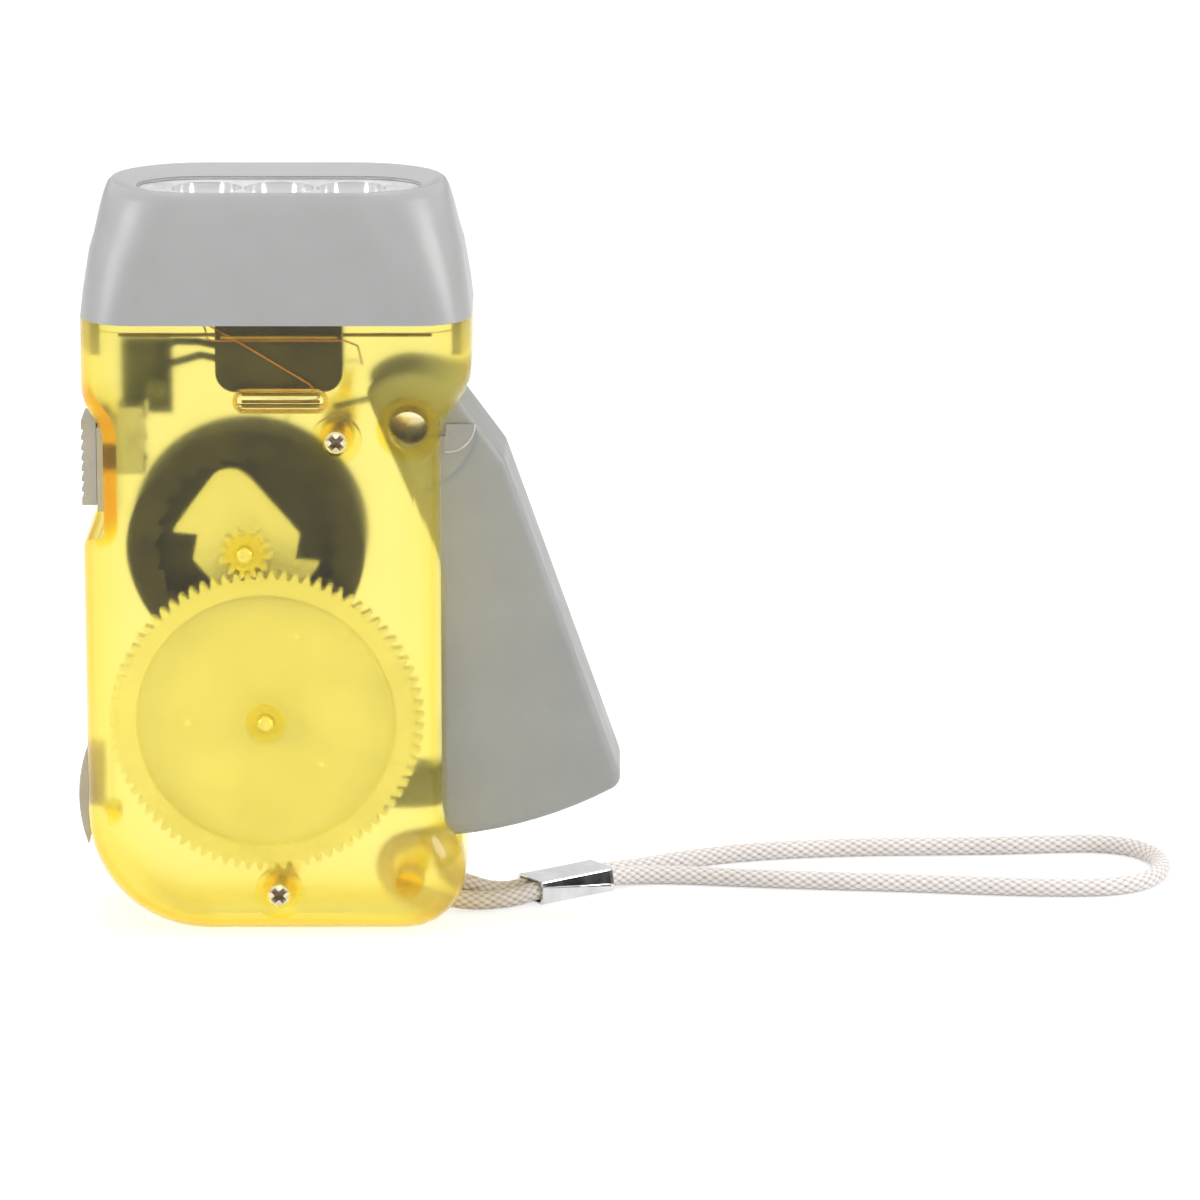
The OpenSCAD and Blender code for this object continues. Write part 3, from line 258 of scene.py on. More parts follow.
def grained(material, size, depth, strength=0.5, height=None, before=None):
    """Bump of a fine grain, or of a given height, with its depth in metres."""
    if height is None:
        height = add_node(material, "TexNoise", {"Vector": object_place(material), "Scale": 1 / size,
                                                 "Detail": 3.0}).outputs["Fac"]
    bump = add_node(material, "Bump", {"Height": height, "Strength": strength, "Distance": depth})
    if before:
        material.node_tree.links.new(before, bump.inputs["Normal"])
    wire(material, bump.outputs["Normal"], "Normal")
    return bump.outputs["Normal"]


cord_fabric = shaded("cord_fabric", (0.82, 0.75, 0.70), 0.85, sheen_weight=0.35, sheen_roughness=0.5)
cord_uv = add_node(cord_fabric, "UVMap", uv_map="braid").outputs["UV"]
hairs = add_node(cord_fabric, "TexNoise", {"Vector": add_node(
    cord_fabric, "Mapping", {"Vector": cord_uv, "Scale": (7, 2.2, 1)}).outputs["Vector"], "Scale": 1.6, "Detail": 4.0})
cord_lift = add_node(cord_fabric, "Attribute", attribute_name="lift").outputs["Fac"]
cord_depth = add_node(cord_fabric, "Math", {0: cord_lift, 1: hairs.outputs["Fac"]}, operation="MULTIPLY_ADD")
cord_depth.inputs[2].default_value = 0.25
# The cord's colour is painted shade by how high the braid stands: dark in the gaps between plies, where shade falls,
# and light on their crowns.
gap_shade = add_node(cord_fabric, "MapRange", {"Value": cord_lift, "From Min": 0.2, "From Max": 0.92})
gap_shade_ramp = add_node(cord_fabric, "ValToRGB", {"Fac": gap_shade.outputs["Result"]})
gap_shade_ramp.color_ramp.elements[0].color = (0.24, 0.195, 0.175, 1)
gap_shade_ramp.color_ramp.elements[1].color = (0.95, 0.91, 0.89, 1)
middle_tone = gap_shade_ramp.color_ramp.elements.new(0.42)
middle_tone.color = (0.66, 0.59, 0.56, 1)
soiled = add_node(cord_fabric, "TexNoise", {"Vector": object_place(cord_fabric), "Scale": 55.0, "Detail": 2.0})
soil_fade = add_node(cord_fabric, "MapRange", {"Value": soiled.outputs["Fac"], "From Min": 0.35, "From Max": 0.7,
                                               "To Min": 1.0, "To Max": 0.9})
cord_mix = add_node(cord_fabric, "VectorMath", {0: gap_shade_ramp.outputs["Color"]}, operation="SCALE")
cord_fabric.node_tree.links.new(soil_fade.outputs["Result"], cord_mix.inputs["Scale"])
# The tint near the case multiplies the cord's colour by a warm grey.
cord_end_tint = add_node(cord_fabric, "Attribute", attribute_name="end_tint").outputs["Fac"]
cord_tinted = add_node(cord_fabric, "Mix", {0: cord_end_tint, 6: cord_mix.outputs["Vector"]}, data_type="RGBA",
                     blend_type="MULTIPLY")
cord_tinted.inputs[7].default_value = (0.93, 0.87, 0.76, 1)
wire(cord_fabric, cord_tinted.outputs[2], "Base Color")
grained(cord_fabric, 1, 0.06 * mm, height=cord_depth.outputs["Value"], strength=0.6)
uneven_gloss(cord_fabric, 3 * mm, 0.75, 0.95)

strap = show_mesh("wrist_strap", strap_mesh, "root", cord_fabric)
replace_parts(strap, "strap_cord", "strap_loop")

# Strap crimp
# A short sleeve of bright plated sheet, folded round both runs of the cord
# and pressed flat, with softened edges, a thin lip and its seam behind.
crimp_start, crimp_turn, crimp_length = Vector((32.7, 4.2, 1.7)) * mm, math.radians(36.2), 12.0
crimp_profile = [
    (1.6, 0.80), (0.0, 0.84), (0.0, 0.97), (0.2, 1.0), (0.6, 0.985), (3.0, 0.975), (6.0, 0.97), (9.0, 0.975),
    (11.4, 0.985), (11.8, 1.0), (crimp_length, 0.97), (crimp_length, 0.84), (10.4, 0.80)]
crimp_along = Vector((math.cos(crimp_turn), math.sin(crimp_turn), 0))
crimp_across = Vector((-math.sin(crimp_turn), math.cos(crimp_turn), 0))


def half_section(run):
    """Half of the sleeve's section, top to bottom: a flat, a leaning side and a steep one below."""
    fold, lip = 0.95 - 1.5 * run / crimp_length, 0.2 * run / crimp_length
    return [(0, 1.68), (1.2, 1.68), (2.35, 1.67), (2.55, 1.62), (2.68, 1.5), (2.76, 1.36),
            (2.80 + 0.17 * (1.36 - fold), fold), (3.12, fold - 0.12), (3.12, fold - 0.15 - lip),
            (3.1, -1.0), (3.04, -1.3), (2.9, -1.54), (2.65, -1.67), (1.2, -1.68), (0, -1.68)]


verts = []
for run, share in crimp_profile:
    half = half_section(run)
    section = half + [(-x, z) for x, z in reversed(half[1:-1])]
    for x, z in section:
        verts.append(crimp_start + (crimp_along * run + crimp_across * x * share + Vector((0, 0, z * share))) * mm)
crimp_sides, rings = len(section), len(crimp_profile)
verts += [crimp_start + crimp_along * crimp_profile[end][0] * mm for end in (0, -1)]
faces = tube_faces(crimp_sides, rings) + end_fans(crimp_sides, rings)


def outward(mesh):
    """All faces of a closed mesh turned outwards."""
    shape = bmesh.new()
    shape.from_mesh(mesh)
    bmesh.ops.recalc_face_normals(shape, faces=shape.faces)
    shape.to_mesh(mesh)
    shape.free()
    return mesh


def mottled(material, size, low, high):
    """Base colour that wanders between two tones over patches of one size, in metres."""
    noise = add_node(material, "TexNoise", {"Vector": object_place(material), "Scale": 1 / size, "Detail": 4.0,
                                            "Roughness": 0.55})
    ramp = add_node(material, "ValToRGB", {"Fac": noise.outputs["Fac"]})
    ramp.color_ramp.elements[0].position, ramp.color_ramp.elements[1].position = 0.32, 0.68
    ramp.color_ramp.elements[0].color, ramp.color_ramp.elements[1].color = (*low, 1), (*high, 1)
    wire(material, ramp.outputs["Color"], "Base Color")
    return ramp.outputs["Color"]


def finished(name, colour, roughness, tones, gloss, grain, **sockets):
    """A shaded material with patches of tone, a drifting gloss and a fine grain on it."""
    material = shaded(name, colour, roughness, **sockets)
    mottled(material, *tones)
    uneven_gloss(material, *gloss)
    grained(material, *grain)
    return material


chrome = finished(
    "crimp_chrome", (0.78, 0.78, 0.79), 0.1, tones=(3 * mm, (0.62, 0.62, 0.635), (0.76, 0.76, 0.77)),
    gloss=(3 * mm, 0.06, 0.16), grain=(2.5 * mm, 0.03 * mm, 0.15), metallic=1.0)
crimp_mesh = outward(plain_mesh("strap_sleeve", verts, faces, smooth=False))
crimp = show_mesh("strap_sleeve", crimp_mesh, "root", chrome)
# The leaning facets get a dark chrome, a painted reflection of dark surroundings, so they read dark from every side.
painted_dark_reflection = finished(
    "painted_dark_reflection", (0.16, 0.16, 0.165), 0.14, tones=(3 * mm, (0.11, 0.11, 0.115), (0.20, 0.20, 0.205)),
    gloss=(2 * mm, 0.1, 0.2), grain=(2.5 * mm, 0.03 * mm, 0.15), metallic=1.0)
crimp.data.materials.append(painted_dark_reflection)
leaning_facets, end_rings = (5, 7, 20, 22), 4
for face in crimp.data.polygons:
    ring, facet = divmod(face.index, crimp_sides)
    if end_rings <= ring < rings - 1 - end_rings and facet in leaning_facets:
        face.material_index = 1
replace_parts(crimp, "strap_crimp")

# Case
# Two moulded halves of clear lemon-yellow plastic, polished outside and
# frosted inside, so what lies near the wall reads sharp and the rest softens.
edge_split = math.radians(34)


def smoothed(node, name, material, angle=edge_split, bend=None):
    """A merged copy of a node with soft shading between its facets, which stands for it.
    With bend, its placing is baked into its mesh and it rides on no body; the points in bend are not read."""
    source = frame["nodes"][node]
    shape = bmesh.new()
    shape.from_mesh(source.data)
    bmesh.ops.remove_doubles(shape, verts=shape.verts, dist=0.002 * mm)
    bmesh.ops.dissolve_degenerate(shape, edges=shape.edges, dist=0.0005 * mm)
    shape.verts.index_update()
    verts = [v.co.copy() for v in shape.verts]
    faces = [tuple(v.index for v in f.verts) for f in shape.faces]
    shape.free()
    mesh = plain_mesh(name, verts, faces)
    mesh.set_sharp_from_angle(angle=angle)
    body = next(b for b, held in frame["record"]["behaviour"]["bodies"].items() if node in held)
    piece = bpy.data.objects.new(name, mesh)
    bpy.context.scene.collection.objects.link(piece)
    weighted = piece.modifiers.new("weighted", "WEIGHTED_NORMAL")
    weighted.keep_sharp = True
    weighted.weight = 80
    baked = bpy.data.meshes.new_from_object(piece.evaluated_get(bpy.context.evaluated_depsgraph_get()))
    baked.name = name
    piece.modifiers.clear()
    piece.data = baked
    piece.data.materials.clear()
    piece.data.materials.append(material)
    if bend:
        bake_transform(piece)
    else:
        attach(piece, body)
    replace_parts(piece, node)
    return piece


case_yellow = shaded("case_yellow", (1.0, 0.985, 0.93), 0.39, ior=1.16, transmission_weight=1.0,
                     coat_weight=0.6, coat_roughness=0.05, coat_ior=1.5)
frost = add_node(case_yellow, "TexNoise", {"Vector": object_place(case_yellow), "Scale": 900.0, "Detail": 4.0})
frost_range = add_node(case_yellow, "MapRange", {"Value": frost.outputs["Fac"], "From Min": 0.3, "From Max": 0.7,
                                                 "To Min": 0.35, "To Max": 0.42})
wire(case_yellow, frost_range.outputs["Result"], "Roughness")
sparkle = grained(case_yellow, 0.3 * mm, 0.02 * mm, strength=0.25)
grained(case_yellow, 6 * mm, 0.05 * mm, strength=0.12, before=sparkle)
case_out = case_yellow.node_tree.nodes["Material Output"]
case_shader = case_yellow.node_tree.nodes["Principled BSDF"]
let_light = add_node(case_yellow, "BsdfTransparent", {"Color": (0.97, 0.965, 0.94, 1)})
light_path = add_node(case_yellow, "LightPath")
leaving = add_node(case_yellow, "NewGeometry").outputs["Backfacing"]
straight_on = add_node(case_yellow, "Math", {0: leaving, 1: light_path.outputs["Is Shadow Ray"]}, operation="MAXIMUM")
case_mix = add_node(case_yellow, "MixShader", {0: straight_on.outputs["Value"], 1: case_shader.outputs["BSDF"],
                                               2: let_light.outputs["BSDF"]})
case_yellow.node_tree.links.new(case_mix.outputs["Shader"], case_out.inputs["Surface"])
tint = add_node(case_yellow, "VolumeAbsorption", {"Color": (0.985, 0.91, 0.02, 1), "Density": 400.0})
case_yellow.node_tree.links.new(tint.outputs["Volume"], case_out.inputs["Volume"])

smoothed("front_shell", "case_front", case_yellow)
smoothed("rear_shell", "case_rear", case_yellow)

# Front slot and seam notch
# The slot's rim and the frame of the notch that the cap clips into are thicker
# plastic, so they read as a deeper amber. The slot's three thin ribs and two
# rods along the seam are painted shade, a dark brown where shadow falls.
case_amber = finished(
    "case_amber", (0.95, 0.66, 0.06), 0.3, tones=(3 * mm, (0.86, 0.56, 0.04), (1.0, 0.74, 0.10)),
    gloss=(1 * mm, 0.24, 0.38), grain=(0.3 * mm, 0.015 * mm, 0.3), ior=1.2, transmission_weight=0.75, coat_weight=0.6,
    coat_roughness=0.08)
rib_shadow = finished(
    "rib_shadow", (0.30, 0.20, 0.03), 0.35, tones=(2 * mm, (0.24, 0.15, 0.02), (0.38, 0.26, 0.045)),
    gloss=(1 * mm, 0.28, 0.42), grain=(0.3 * mm, 0.01 * mm, 0.3), transmission_weight=0.3)


def rods(name, lines, radius, material, body):
    """Round rods along several lines of points in millimetres, as one piece."""
    verts, faces, sides, spacing = [], [], 12, 0.4 * mm
    for line in lines:
        points, _ = flowing_line([Vector(q) * mm for q in line], spacing)
        more, fresh, _ = round_rod(points, radius, sides)
        faces += [tuple(v + len(verts) for v in f) for f in fresh]
        verts += more
    return show_mesh(name, outward(plain_mesh(name, verts, faces)), body, material)


slot_x, slot_z, slot_half, slot_end = 0.55, 73.0, 5.95, 1.35
slot_y, slot_floor_y, slot_end_steps, rib_half = -14.2, -13.35, 8, 5.1
slot_ring = []
for side, first_angle in ((1, 90), (-1, 270)):
    for step in range(slot_end_steps + 1):
        angle = math.radians(first_angle - 180 * step / slot_end_steps)
        slot_ring.append((slot_x + side * (slot_half - slot_end) + slot_end * math.cos(angle), slot_y,
                          slot_z + slot_end * math.sin(angle)))
slot_ring.append(slot_ring[0])
rods("slot_rim", [slot_ring], 0.3 * mm, case_amber, "root")
# The slot's ribs are coloured dark brown as painted shade in its grooves.
rods("slot_ribs", [[(slot_x + dx, slot_floor_y, slot_z + dz) for dx in (-rib_half, 0, rib_half)]
                   for dz in (-0.85, -0.25, 0.72)], 0.2 * mm, rib_shadow, "root")
notch_left, notch_right, notch_foot, notch_top, notch_y = -7.2, 8.1, 81.3, 82.8, -13.5
notch_sides = [[(x, notch_y, z) for z in (notch_top, 82, notch_foot)] for x in (notch_left, notch_right)]
rods("notch_frame", notch_sides + [[(x, notch_y, notch_foot) for x in (notch_left, 0.4, notch_right)]],
     0.2 * mm, case_amber, "root")
seam_z = 81.45
# Two dark rods along the seam are painted shadow under the cap's edge.
rods("seam_ribs", [[(-20.5, -12.35, seam_z), (-14, -12.4, seam_z), (-7.7, -12.4, seam_z)],
                   [(8.7, -12.4, seam_z), (14, -12.4, seam_z), (20.2, -12.35, seam_z)]],
     0.2 * mm, rib_shadow, "root")

# Lamp head
# A cap of solid mid-grey plastic, snapped over the case, with a finely
# sparked skin and one long window cut through its top.
head_grey = finished(
    "head_grey", (0.41, 0.41, 0.408), 0.4, tones=(9 * mm, (0.398, 0.398, 0.395), (0.424, 0.424, 0.422)),
    gloss=(6 * mm, 0.3, 0.38), grain=(0.22 * mm, 0.008 * mm, 0.35), specular_ior_level=0.5)
smoothed("head_cover", "head_cap", head_grey)

# Lens
# A flat window of clear plastic with a flange under the cap, bright and
# smooth, with the faint swirls of its moulding.
lens_clear = shaded("lens_clear", (1, 1, 1), 0.03, ior=1.45, transmission_weight=1.0)
uneven_gloss(lens_clear, 4 * mm, 0.02, 0.06)
grained(lens_clear, 7 * mm, 0.04 * mm, strength=0.08)
lens_out = lens_clear.node_tree.nodes["Material Output"]
lens_mix = add_node(lens_clear, "MixShader", {
    0: add_node(lens_clear, "LightPath").outputs["Is Shadow Ray"],
    1: lens_clear.node_tree.nodes["Principled BSDF"].outputs["BSDF"],
    2: add_node(lens_clear, "BsdfTransparent", {"Color": (0.97, 0.97, 0.97, 1)}).outputs["BSDF"]})
lens_clear.node_tree.links.new(lens_mix.outputs["Shader"], lens_out.inputs["Surface"])


def dress(material, *names):
    """Give nodes of the frame a finish, on every slot that they have."""
    for name in names:
        for slot in frame["nodes"][name].material_slots:
            slot.material = material


dress(lens_clear, "lens")

# Reflector
# Three bowls in one block of plastic, with a bright vacuum-coated skin that
# is a little wavy. The flat land round the bowls is duller.
reflector_silver = finished(
    "reflector_silver", (0.97, 0.97, 0.97), 0.1, tones=(2.5 * mm, (0.94, 0.94, 0.95), (0.99, 0.99, 0.99)),
    gloss=(2 * mm, 0.06, 0.14), grain=(1.6 * mm, 0.03 * mm, 0.2), metallic=1.0)
bowls = smoothed("reflector", "reflector_bowls", reflector_silver, math.radians(40))
land_silver = finished(
    "land_silver", (0.97, 0.97, 0.97), 0.3, tones=(2.5 * mm, (0.93, 0.93, 0.94), (0.99, 0.99, 0.99)),
    gloss=(2 * mm, 0.24, 0.4), grain=(1.6 * mm, 0.04 * mm, 0.25), metallic=0.15)
bowls.data.materials.append(land_silver)
level_enough = 0.98
for face in bowls.data.polygons:
    if face.normal.z > level_enough:
        face.material_index = 1

# Lever
# A stiff moulding in darker grey, ribbed inside, with a paler quarter-round pad
# on its face, rimmed by a lighter line of painted highlight.
lever_grey = finished(
    "lever_grey", (0.345, 0.35, 0.335), 0.42, tones=(8 * mm, (0.332, 0.337, 0.322), (0.362, 0.367, 0.352)),
    gloss=(4 * mm, 0.33, 0.5), grain=(0.2 * mm, 0.012 * mm, 0.5), specular_ior_level=0.45)
smoothed("lever", "squeeze_lever", lever_grey)
ear_x, ear_z, ear_radius, ear_y, ear_steps, ear_sweep = 22.0, 68.6, 3.75, -7.97, 18, -95
ear_thick, ear_proud = 0.3 * mm, 0.04 * mm
ear_line = [(ear_x, ear_y, ear_z), (ear_x + ear_radius, ear_y, ear_z)]
for step in range(1, ear_steps + 1):
    angle = math.radians(ear_sweep * step / ear_steps)
    ear_line.append((ear_x + ear_radius * math.cos(angle), ear_y, ear_z + ear_radius * math.sin(angle)))
# The pad's curved rim is a painted highlight: a lighter grey rod along it.
edge_highlight_grey = finished(
    "edge_highlight_grey", (0.56, 0.56, 0.545), 0.35, tones=(2 * mm, (0.52, 0.53, 0.54), (0.64, 0.65, 0.65)),
    gloss=(1 * mm, 0.28, 0.42), grain=(0.2 * mm, 0.01 * mm, 0.4))
rods("lever_ear_edge", [ear_line[1:]], 0.14 * mm, edge_highlight_grey, "lever")
verts = [Vector(q) * mm for q in ear_line]
back = [v + Vector((0, ear_thick, 0)) for v in verts]
front = [v + Vector((0, -ear_proud, 0)) for v in verts]
count = len(verts)
faces = [tuple(range(count)), tuple(range(2 * count - 1, count - 1, -1))]
faces += [(k, k + count, (k + 1) % count + count, (k + 1) % count) for k in range(count)]
pad_grey = finished(
    "pad_grey", (0.40, 0.405, 0.39), 0.45, tones=(3 * mm, (0.33, 0.345, 0.355), (0.365, 0.38, 0.39)),
    gloss=(2 * mm, 0.38, 0.52), grain=(0.2 * mm, 0.01 * mm, 0.4))
show_mesh("lever_ear", outward(plain_mesh("lever_ear", front + back, faces, smooth=False)), "lever", pad_grey)

# Lamps
# Three clear epoxy lamps with a flange and a domed tip. Each holds a pair of
# tinned posts, one ending in a tiny cup with the yellow-coated chip in it.
lamp_clear = shaded("led_clear", (1, 1, 1), 0.04, ior=1.5, transmission_weight=1.0)
uneven_gloss(lamp_clear, 2 * mm, 0.02, 0.07)
grained(lamp_clear, 1.5 * mm, 0.02 * mm, strength=0.1)
dress(lamp_clear, "led_1", "led_2", "led_3")
post_tin = finished(
    "lamp_posts", (0.72, 0.72, 0.70), 0.3, tones=(1 * mm, (0.60, 0.60, 0.58), (0.80, 0.80, 0.78)),
    gloss=(0.6 * mm, 0.22, 0.4), grain=(0.3 * mm, 0.01 * mm), metallic=1.0)
chip_yellow = finished(
    "chip_coating", (0.86, 0.70, 0.12), 0.6, tones=(0.4 * mm, (0.78, 0.60, 0.08), (0.92, 0.78, 0.18)),
    gloss=(0.3 * mm, 0.5, 0.7), grain=(0.1 * mm, 0.01 * mm))


def new_tree(name, inputs):
    """A Geometry Nodes tree with one geometry output, and the sockets of its named number inputs."""
    tree = bpy.data.node_groups.new(name, "GeometryNodeTree")
    tree.interface.new_socket("Geometry", in_out="OUTPUT", socket_type="NodeSocketGeometry")
    for key, value in inputs.items():
        socket = tree.interface.new_socket(key, in_out="INPUT", socket_type="NodeSocketFloat")
        socket.default_value = value
    return tree, tree.nodes.new("NodeGroupInput").outputs


def tree_node(tree, kind, inputs=None, **settings):
    node = tree.nodes.new(kind)
    for key, value in settings.items():
        setattr(node, key, value)
    for key, value in (inputs or {}).items():
        if isinstance(value, bpy.types.NodeSocket):
            tree.links.new(value, node.inputs[key])
        else:
            node.inputs[key].default_value = value
    return node


def tree_xyz(tree, x=0.0, y=0.0, z=0.0):
    return tree_node(tree, "ShaderNodeCombineXYZ", {"X": x, "Y": y, "Z": z}).outputs["Vector"]


def times(tree, value, factor):
    return tree_node(tree, "ShaderNodeMath", {0: value, 1: factor}, operation="MULTIPLY").outputs[0]


def shifted(tree, geometry, to, **settings):
    """A shape of a tree, moved by a vector and, with Scale, stretched."""
    return tree_node(tree, "GeometryNodeTransform", {"Geometry": geometry, "Translation": to, **settings}).outputs[
        "Geometry"]


def tree_piece(tree, geometry, name, material, body):
    """Ends a tree, runs it once, and shows its result as a plain mesh on a body."""
    real = tree_node(tree, "GeometryNodeRealizeInstances", {"Geometry": geometry})
    painted = tree_node(tree, "GeometryNodeSetMaterial", {"Geometry": real.outputs["Geometry"], "Material": material})
    tree.links.new(painted.outputs["Geometry"], tree.nodes.new("NodeGroupOutput").inputs["Geometry"])
    holder = bpy.data.objects.new(name + "_holder", bpy.data.meshes.new(name + "_holder"))
    bpy.context.scene.collection.objects.link(holder)
    modifier = holder.modifiers.new("shape", "NODES")
    modifier.node_group = tree
    for item in tree.interface.items_tree:
        if item.item_type == "SOCKET" and item.in_out == "INPUT":
            modifier[item.identifier] = item.default_value
    baked = bpy.data.meshes.new_from_object(holder.evaluated_get(bpy.context.evaluated_depsgraph_get()))
    baked.name = name
    holder.modifiers.clear()
    bpy.data.objects.remove(holder)
    return show_mesh(name, baked, body, material)


def along_x(tree, piece, pitch, height):
    """Three of a piece, a pitch apart in a row across the light."""
    row = tree_node(tree, "GeometryNodeMeshLine", {
        "Count": 3, "Start Location": tree_xyz(tree, times(tree, pitch, -1.0), 0.0, height),
        "Offset": tree_xyz(tree, pitch)})
    return tree_node(tree, "GeometryNodeInstanceOnPoints", {"Points": row.outputs["Mesh"], "Instance": piece}).outputs[
        "Instances"]


posts_tree, post = new_tree("lamp_posts", {
    "Pitch": 9.5 * mm, "Foot": 86.4 * mm, "Post height": 4.4 * mm, "Post gap": 0.62 * mm, "Cup radius": 0.55 * mm})
one_post = tree_node(posts_tree, "GeometryNodeMeshCube", {
    "Size": tree_xyz(posts_tree, 0.5 * mm, 0.5 * mm, post["Post height"])})
half_up, to_left = times(posts_tree, post["Post height"], 0.5), times(posts_tree, post["Post gap"], -1.0)
cup = tree_node(posts_tree, "GeometryNodeMeshCone", {
    "Vertices": 20, "Radius Top": post["Cup radius"], "Radius Bottom": 0.3 * mm, "Depth": 0.6 * mm})
pair = tree_node(posts_tree, "GeometryNodeJoinGeometry")
for shape, across, up in ((one_post, post["Post gap"], half_up), (one_post, to_left, half_up),
                          (cup, to_left, post["Post height"])):
    posts_tree.links.new(shifted(posts_tree, shape.outputs["Mesh"], tree_xyz(posts_tree, across, 0.0, up)),
                         pair.inputs["Geometry"])
tree_piece(posts_tree, along_x(posts_tree, pair.outputs["Geometry"], post["Pitch"], post["Foot"]),
           "lamp_post_pairs", post_tin, "root")
chips_tree, chip = new_tree("lamp_chips", {
    "Pitch": 9.5 * mm, "Height": 91.4 * mm, "Chip radius": 0.42 * mm, "Offset": -0.62 * mm})
bead = tree_node(chips_tree, "GeometryNodeMeshUVSphere", {"Segments": 16, "Rings": 8, "Radius": chip["Chip radius"]})
flat_bead = shifted(chips_tree, bead.outputs["Mesh"], tree_xyz(chips_tree, chip["Offset"]), Scale=(1, 1, 0.45))
tree_piece(chips_tree, along_x(chips_tree, flat_bead, chip["Pitch"], chip["Height"]), "lamp_chips", chip_yellow,
           "root")

# Lamp board and switch board
# Fibreglass board under dark green lacquer, with the lamp leads soldered
# under it in small bright cones.
board_green = shaded("board_green", (0.04, 0.055, 0.028), 0.35, specular_ior_level=0.5)
mottled(board_green, 4 * mm, (0.06, 0.07, 0.03), (0.15, 0.15, 0.065))
uneven_gloss(board_green, 2 * mm, 0.28, 0.45)
weave = add_node(board_green, "TexWave", {"Vector": object_place(board_green), "Scale": 900.0, "Distortion": 1.0})
grained(board_green, 1, 0.01 * mm, height=weave.outputs["Fac"], strength=0.3)
dress(board_green, "led_board", "switch_board")
solder = finished(
    "solder", (0.68, 0.68, 0.67), 0.28, tones=(0.5 * mm, (0.58, 0.58, 0.57), (0.78, 0.78, 0.77)),
    gloss=(0.4 * mm, 0.2, 0.4), grain=(0.3 * mm, 0.01 * mm), metallic=1.0)
solder_tree, joint = new_tree("solder_joints", {
    "Pitch": 9.5 * mm, "Lead gap": 1.27 * mm, "Board foot": 84.85 * mm, "Joint radius": 0.75 * mm})
cone = tree_node(solder_tree, "GeometryNodeMeshCone", {
    "Vertices": 20, "Radius Top": joint["Joint radius"], "Radius Bottom": 0.3 * mm, "Depth": 0.5 * mm})
pair = tree_node(solder_tree, "GeometryNodeJoinGeometry")
for across in (joint["Lead gap"], times(solder_tree, joint["Lead gap"], -1.0)):
    solder_tree.links.new(
        shifted(solder_tree, cone.outputs["Mesh"], tree_xyz(solder_tree, across, 0.0, -0.25 * mm)),
        pair.inputs["Geometry"])
tree_piece(solder_tree, along_x(solder_tree, pair.outputs["Geometry"], joint["Pitch"], joint["Board foot"]),
           "solder_joints", solder, "root")

# Battery
# Three small cells in a row under one shrunk film, which wrinkles a little
# and dips between them.
cell_film = shaded("cell_film", (0.05, 0.046, 0.03), 0.32, specular_ior_level=0.5)
mottled(cell_film, 5 * mm, (0.012, 0.011, 0.007), (0.05, 0.045, 0.028))
uneven_gloss(cell_film, 3 * mm, 0.22, 0.42)
creases = add_node(cell_film, "TexNoise", {"Vector": object_place(cell_film, (1, 1, 0.3)), "Scale": 500.0,
                                           "Detail": 2.0, "Distortion": 1.5})
grained(cell_film, 1, 0.12 * mm, height=creases.outputs["Fac"], strength=0.5)
dress(cell_film, "battery_pack")

# Switch
# A slide switch of tinned sheet behind a warm grey plate, worked by a ribbed
# knob of the same plastic. The lock button below is moulded of it too.
knob_grey = finished(
    "knob_grey", (0.50, 0.465, 0.42), 0.45, tones=(4 * mm, (0.47, 0.435, 0.39), (0.54, 0.505, 0.46)),
    gloss=(2 * mm, 0.36, 0.52), grain=(0.2 * mm, 0.012 * mm))
dress(knob_grey, "switch_plate")
smoothed("switch_knob", "slide_knob", knob_grey)
smoothed("lock_button", "lever_lock", knob_grey, math.radians(50))
tin = shaded("steel", (0.60, 0.59, 0.56), 0.32, metallic=0.9)
mottled(tin, 3 * mm, (0.52, 0.51, 0.48), (0.68, 0.67, 0.64))
uneven_gloss(tin, 2 * mm, 0.25, 0.42)
brushed = add_node(tin, "TexNoise", {"Vector": object_place(tin, (1, 1, 0.05)), "Scale": 4000.0, "Detail": 2.0})
grained(tin, 1, 0.006 * mm, height=brushed.outputs["Fac"], strength=0.3)
dress(tin, "switch_body", "stator_front", "stator_rear")

# Gear train
# The large gear, its pinion and the one-way claw are moulded in natural
# nylon: milky, a little warm, and duller where the teeth rub.
nylon = finished(
    "nylon", (0.84, 0.83, 0.74), 0.42, tones=(12 * mm, (0.70, 0.69, 0.58), (0.80, 0.79, 0.70)),
    gloss=(3 * mm, 0.36, 0.52), grain=(0.4 * mm, 0.02 * mm, 0.4), specular_ior_level=0.45)
dress(nylon, "drive_gear", "pinion_pawl")
axle_steel = finished(
    "axle_steel", (0.80, 0.78, 0.68), 0.3, tones=(1 * mm, (0.72, 0.70, 0.60), (0.86, 0.84, 0.75)),
    gloss=(1 * mm, 0.22, 0.38), grain=(0.3 * mm, 0.006 * mm), metallic=0.35)
pin_radius, pin_half, pin_edge, pin_sides = 0.995, 12.6, 0.22, 32
pin_profile = [(0, -pin_half), (pin_radius - pin_edge, -pin_half), (pin_radius, -pin_half + pin_edge),
               (pin_radius, pin_half - pin_edge), (pin_radius - pin_edge, pin_half), (0, pin_half)]
